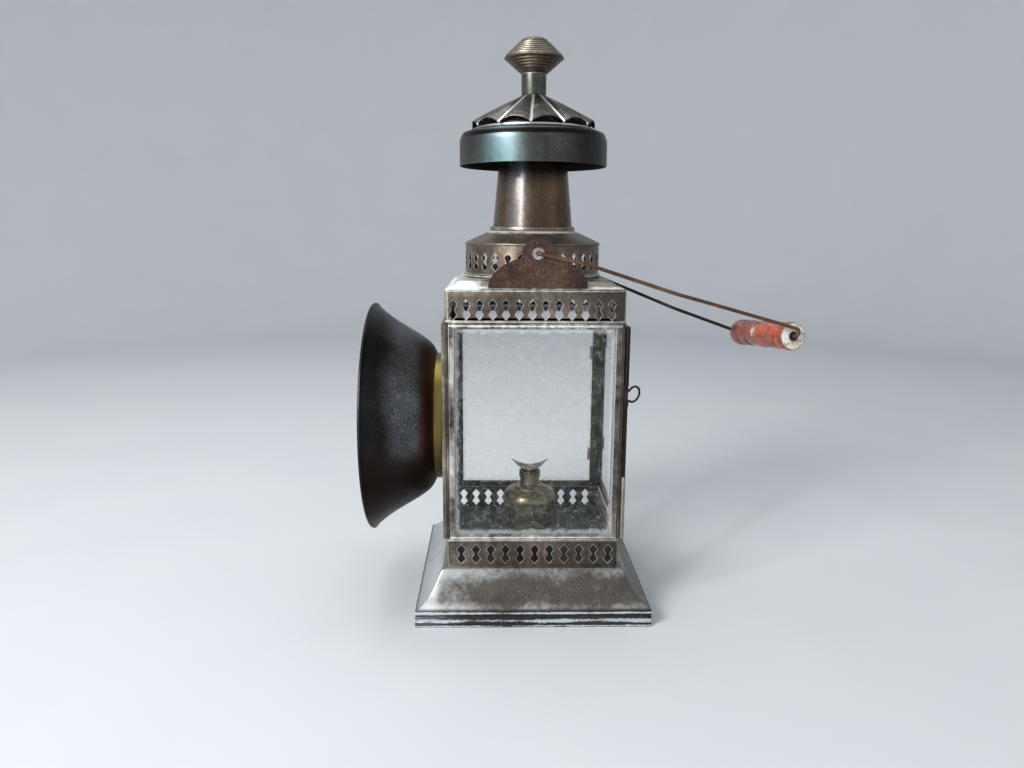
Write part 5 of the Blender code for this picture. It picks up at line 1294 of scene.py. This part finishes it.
def ear_plate(name, face_y, side):
    """A bmesh of the flat plate, filled between its outline and its eye and made thick inwards."""
    outline = ear_outline()
    turn = np.linspace(0, 2 * np.pi, 32, endpoint=False)
    eye = np.stack([EAR_EYE * np.cos(turn), EAR_EYE_UP + EAR_EYE * np.sin(turn)], 1)
    flat = np.vstack([outline, eye]) + [EAR_MIDDLE, EAR_LOW]
    loops = [np.arange(len(outline)), len(outline) + np.arange(len(eye))]
    edges = np.vstack([np.stack([loop, np.roll(loop, -1)], 1) for loop in loops]).tolist()
    shape = bmesh.new()
    shape.from_mesh(mesh_of(name + "_outline", np.insert(flat, 1, side * face_y, axis=1), edges=edges))
    bmesh.ops.triangle_fill(shape, use_beauty=True, edges=shape.edges)
    bmesh.ops.recalc_face_normals(shape, faces=shape.faces)
    moved = bmesh.ops.extrude_face_region(shape, geom=list(shape.faces))["geom"]
    corners = [item for item in moved if isinstance(item, bmesh.types.BMVert)]
    bmesh.ops.translate(shape, vec=(0.0, -side * EAR_PLATE, 0.0), verts=corners)
    return shape


def add_ear(name, node, side):
    """side is -1 for the front ear and 1 for the back one."""
    reach = np.abs(span(node, 1))
    shape = ear_plate(name, reach.max(), side)
    section = foot_section(reach.max(), reach.min())
    along = np.linspace(-EAR_FOOT_HALF, EAR_FOOT_HALF, 9) + EAR_MIDDLE
    x, y = np.broadcast_arrays(along[:, None], side * section[:, 0])
    rings = np.stack([x, y, np.broadcast_to(EAR_LOW + section[:, 1], x.shape)], -1)
    count = len(section)
    ends = [list(range(count)), list(range(count * (len(along) - 1), count * len(along)))]
    shape.from_mesh(mesh_of(name + "_foot", rings, grid_faces(len(along), count, close_rows=False) + ends))
    bmesh.ops.recalc_face_normals(shape, faces=shape.faces)
    plate = bpy.data.meshes.new(name)
    shape.to_mesh(plate)
    shape.free()
    soften(add_piece(name, plate, ear_finish, node, 40.0), 0.22 * MM, 50.0)


add_ear("ear_front", "bail_ear_front", -1)
add_ear("ear_back", "bail_ear_back", 1)
print("ear heights", [round(v / MM, 1) for v in span("bail_ear_front")])

# %% [markdown]
# ## Panes
#
# The panes keep their solids' shape, with ground edges. What makes them glass is the finish.

# %% Glass panes, and finishes for the plain sheets inside
for node, look in (
    ("front_glass", front_glass_finish), ("back_glass", back_glass_finish), ("door_glass", door_glass_finish),
):
    dressed(node, look, 0.3 * MM)
for node in ("floor_pan", "base_plate"):
    plain = frame["nodes"][node].data
    plain.materials.clear()
    plain.materials.append(inside_finish)

# %% [markdown]
# ## Floor, backdrop and light
#
# The stage is a pale round dish: a floor that bends up into a wall on every side, so there is no horizon
# line. The key light comes from the upper left, as the bright streaks on the chimney show. A weak fill from
# the right keeps the dark side readable, and a low world light stands for the rest of the room.


# %% The stage
def add_sweep(floor_reach, bend, height, turns=96):
    """A round dish: a flat disc, a quarter circle of radius bend, and a wall, turned about the lantern."""
    arc = np.linspace(0, np.pi / 2, 25)
    reach = np.concatenate([[0.0, floor_reach / 2], floor_reach + bend * np.sin(arc), [floor_reach + bend]])
    level = np.concatenate([[0.0, 0.0], bend * (1 - np.cos(arc)), [height]])
    dish = turned(np.stack([reach, level], 1), turns)
    mesh = weld(mesh_of("sweep", dish, grid_faces(len(reach), turns, close_rows=False)))
    mesh.flip_normals()
    mesh.shade_smooth()
    sweep = bpy.data.objects.new("sweep", mesh)
    bpy.context.scene.collection.objects.link(sweep)
    return sweep


paper, s = new_material("pale_paper")
paper_colour = s.noise(6.0, 3.0).tint((0.56, 0.58, 0.61), (0.61, 0.63, 0.65))
show(s, {"Base Color": paper_colour, "Roughness": 0.85})
sweep = add_sweep(1.9, 0.9, 2.2)
sweep.data.materials.append(paper)
print("stage made, faces", len(sweep.data.polygons))

# %% The lamps and the room's light
TARGET = Vector((0.0, 0.0, 0.26))
for name, place, size, power, colour in (
    ("key", (-1.75, -1.60, 1.60), (0.85, 1.1), 66.0, (1.0, 0.99, 0.97)),
    ("strip", (-0.75, -1.05, 0.55), (0.08, 0.9), 6.0, (0.90, 0.96, 1.0)),
    ("fill", (1.6, -0.9, 0.9), (1.4, 1.4), 1.5, (1.0, 0.97, 0.93)),
    ("top", (-0.2, 0.3, 1.9), (1.2, 1.2), 14.0, (1.0, 1.0, 1.0)),
):
    lamp = bpy.data.lights.new(name, "AREA")
    lamp.shape, lamp.size, lamp.size_y = "RECTANGLE", *size
    lamp.energy, lamp.color = power, colour
    holder = bpy.data.objects.new(name, lamp)
    holder.location = place
    holder.rotation_euler = (TARGET - Vector(place)).to_track_quat("-Z", "Y").to_euler()
    bpy.context.scene.collection.objects.link(holder)
world = bpy.data.worlds.new("room")
world.use_nodes = True
room = world.node_tree.nodes["Background"].inputs
room["Color"].default_value, room["Strength"].default_value = (0.80, 0.86, 0.92, 1.0), 0.4
bpy.context.scene.world = world

# %% [markdown]
# ## Camera
#
# The camera stands where the photographer's did: three quarters of a metre in front of the window, a little
# left of the middle, looking down by eleven degrees. Those numbers were fitted to the lantern's own edges.

# %% The camera
CAMERA_PLACE = Vector((-0.036416, -0.769597, 0.35636))
YAW, PITCH, ROLL = math.radians(1.335), math.radians(11.203), math.radians(0.356)
ahead = Vector((math.sin(YAW) * math.cos(PITCH), math.cos(YAW) * math.cos(PITCH), -math.sin(PITCH)))
level = Vector((math.cos(YAW), -math.sin(YAW), 0.0))
above = level.cross(ahead)
right = level * math.cos(ROLL) + above * math.sin(ROLL)
upright = above * math.cos(ROLL) - level * math.sin(ROLL)
eye = bpy.data.cameras.new("camera")
eye.sensor_width, eye.lens, eye.clip_start = 36.0, 27.85, 0.01
holder = bpy.data.objects.new("camera", eye)
axes = Matrix((right, upright, -ahead)).transposed().to_4x4()
holder.matrix_world = Matrix.Translation(CAMERA_PLACE) @ axes
bpy.context.scene.collection.objects.link(holder)
bpy.context.scene.camera = holder
bpy.context.scene.view_settings.view_transform = "Standard"
print("camera at", [round(v, 3) for v in CAMERA_PLACE])

# %% [markdown]
# ## Finishing
#
# The view layer is updated once more.

# %% Update the view layer
bpy.context.view_layer.update()
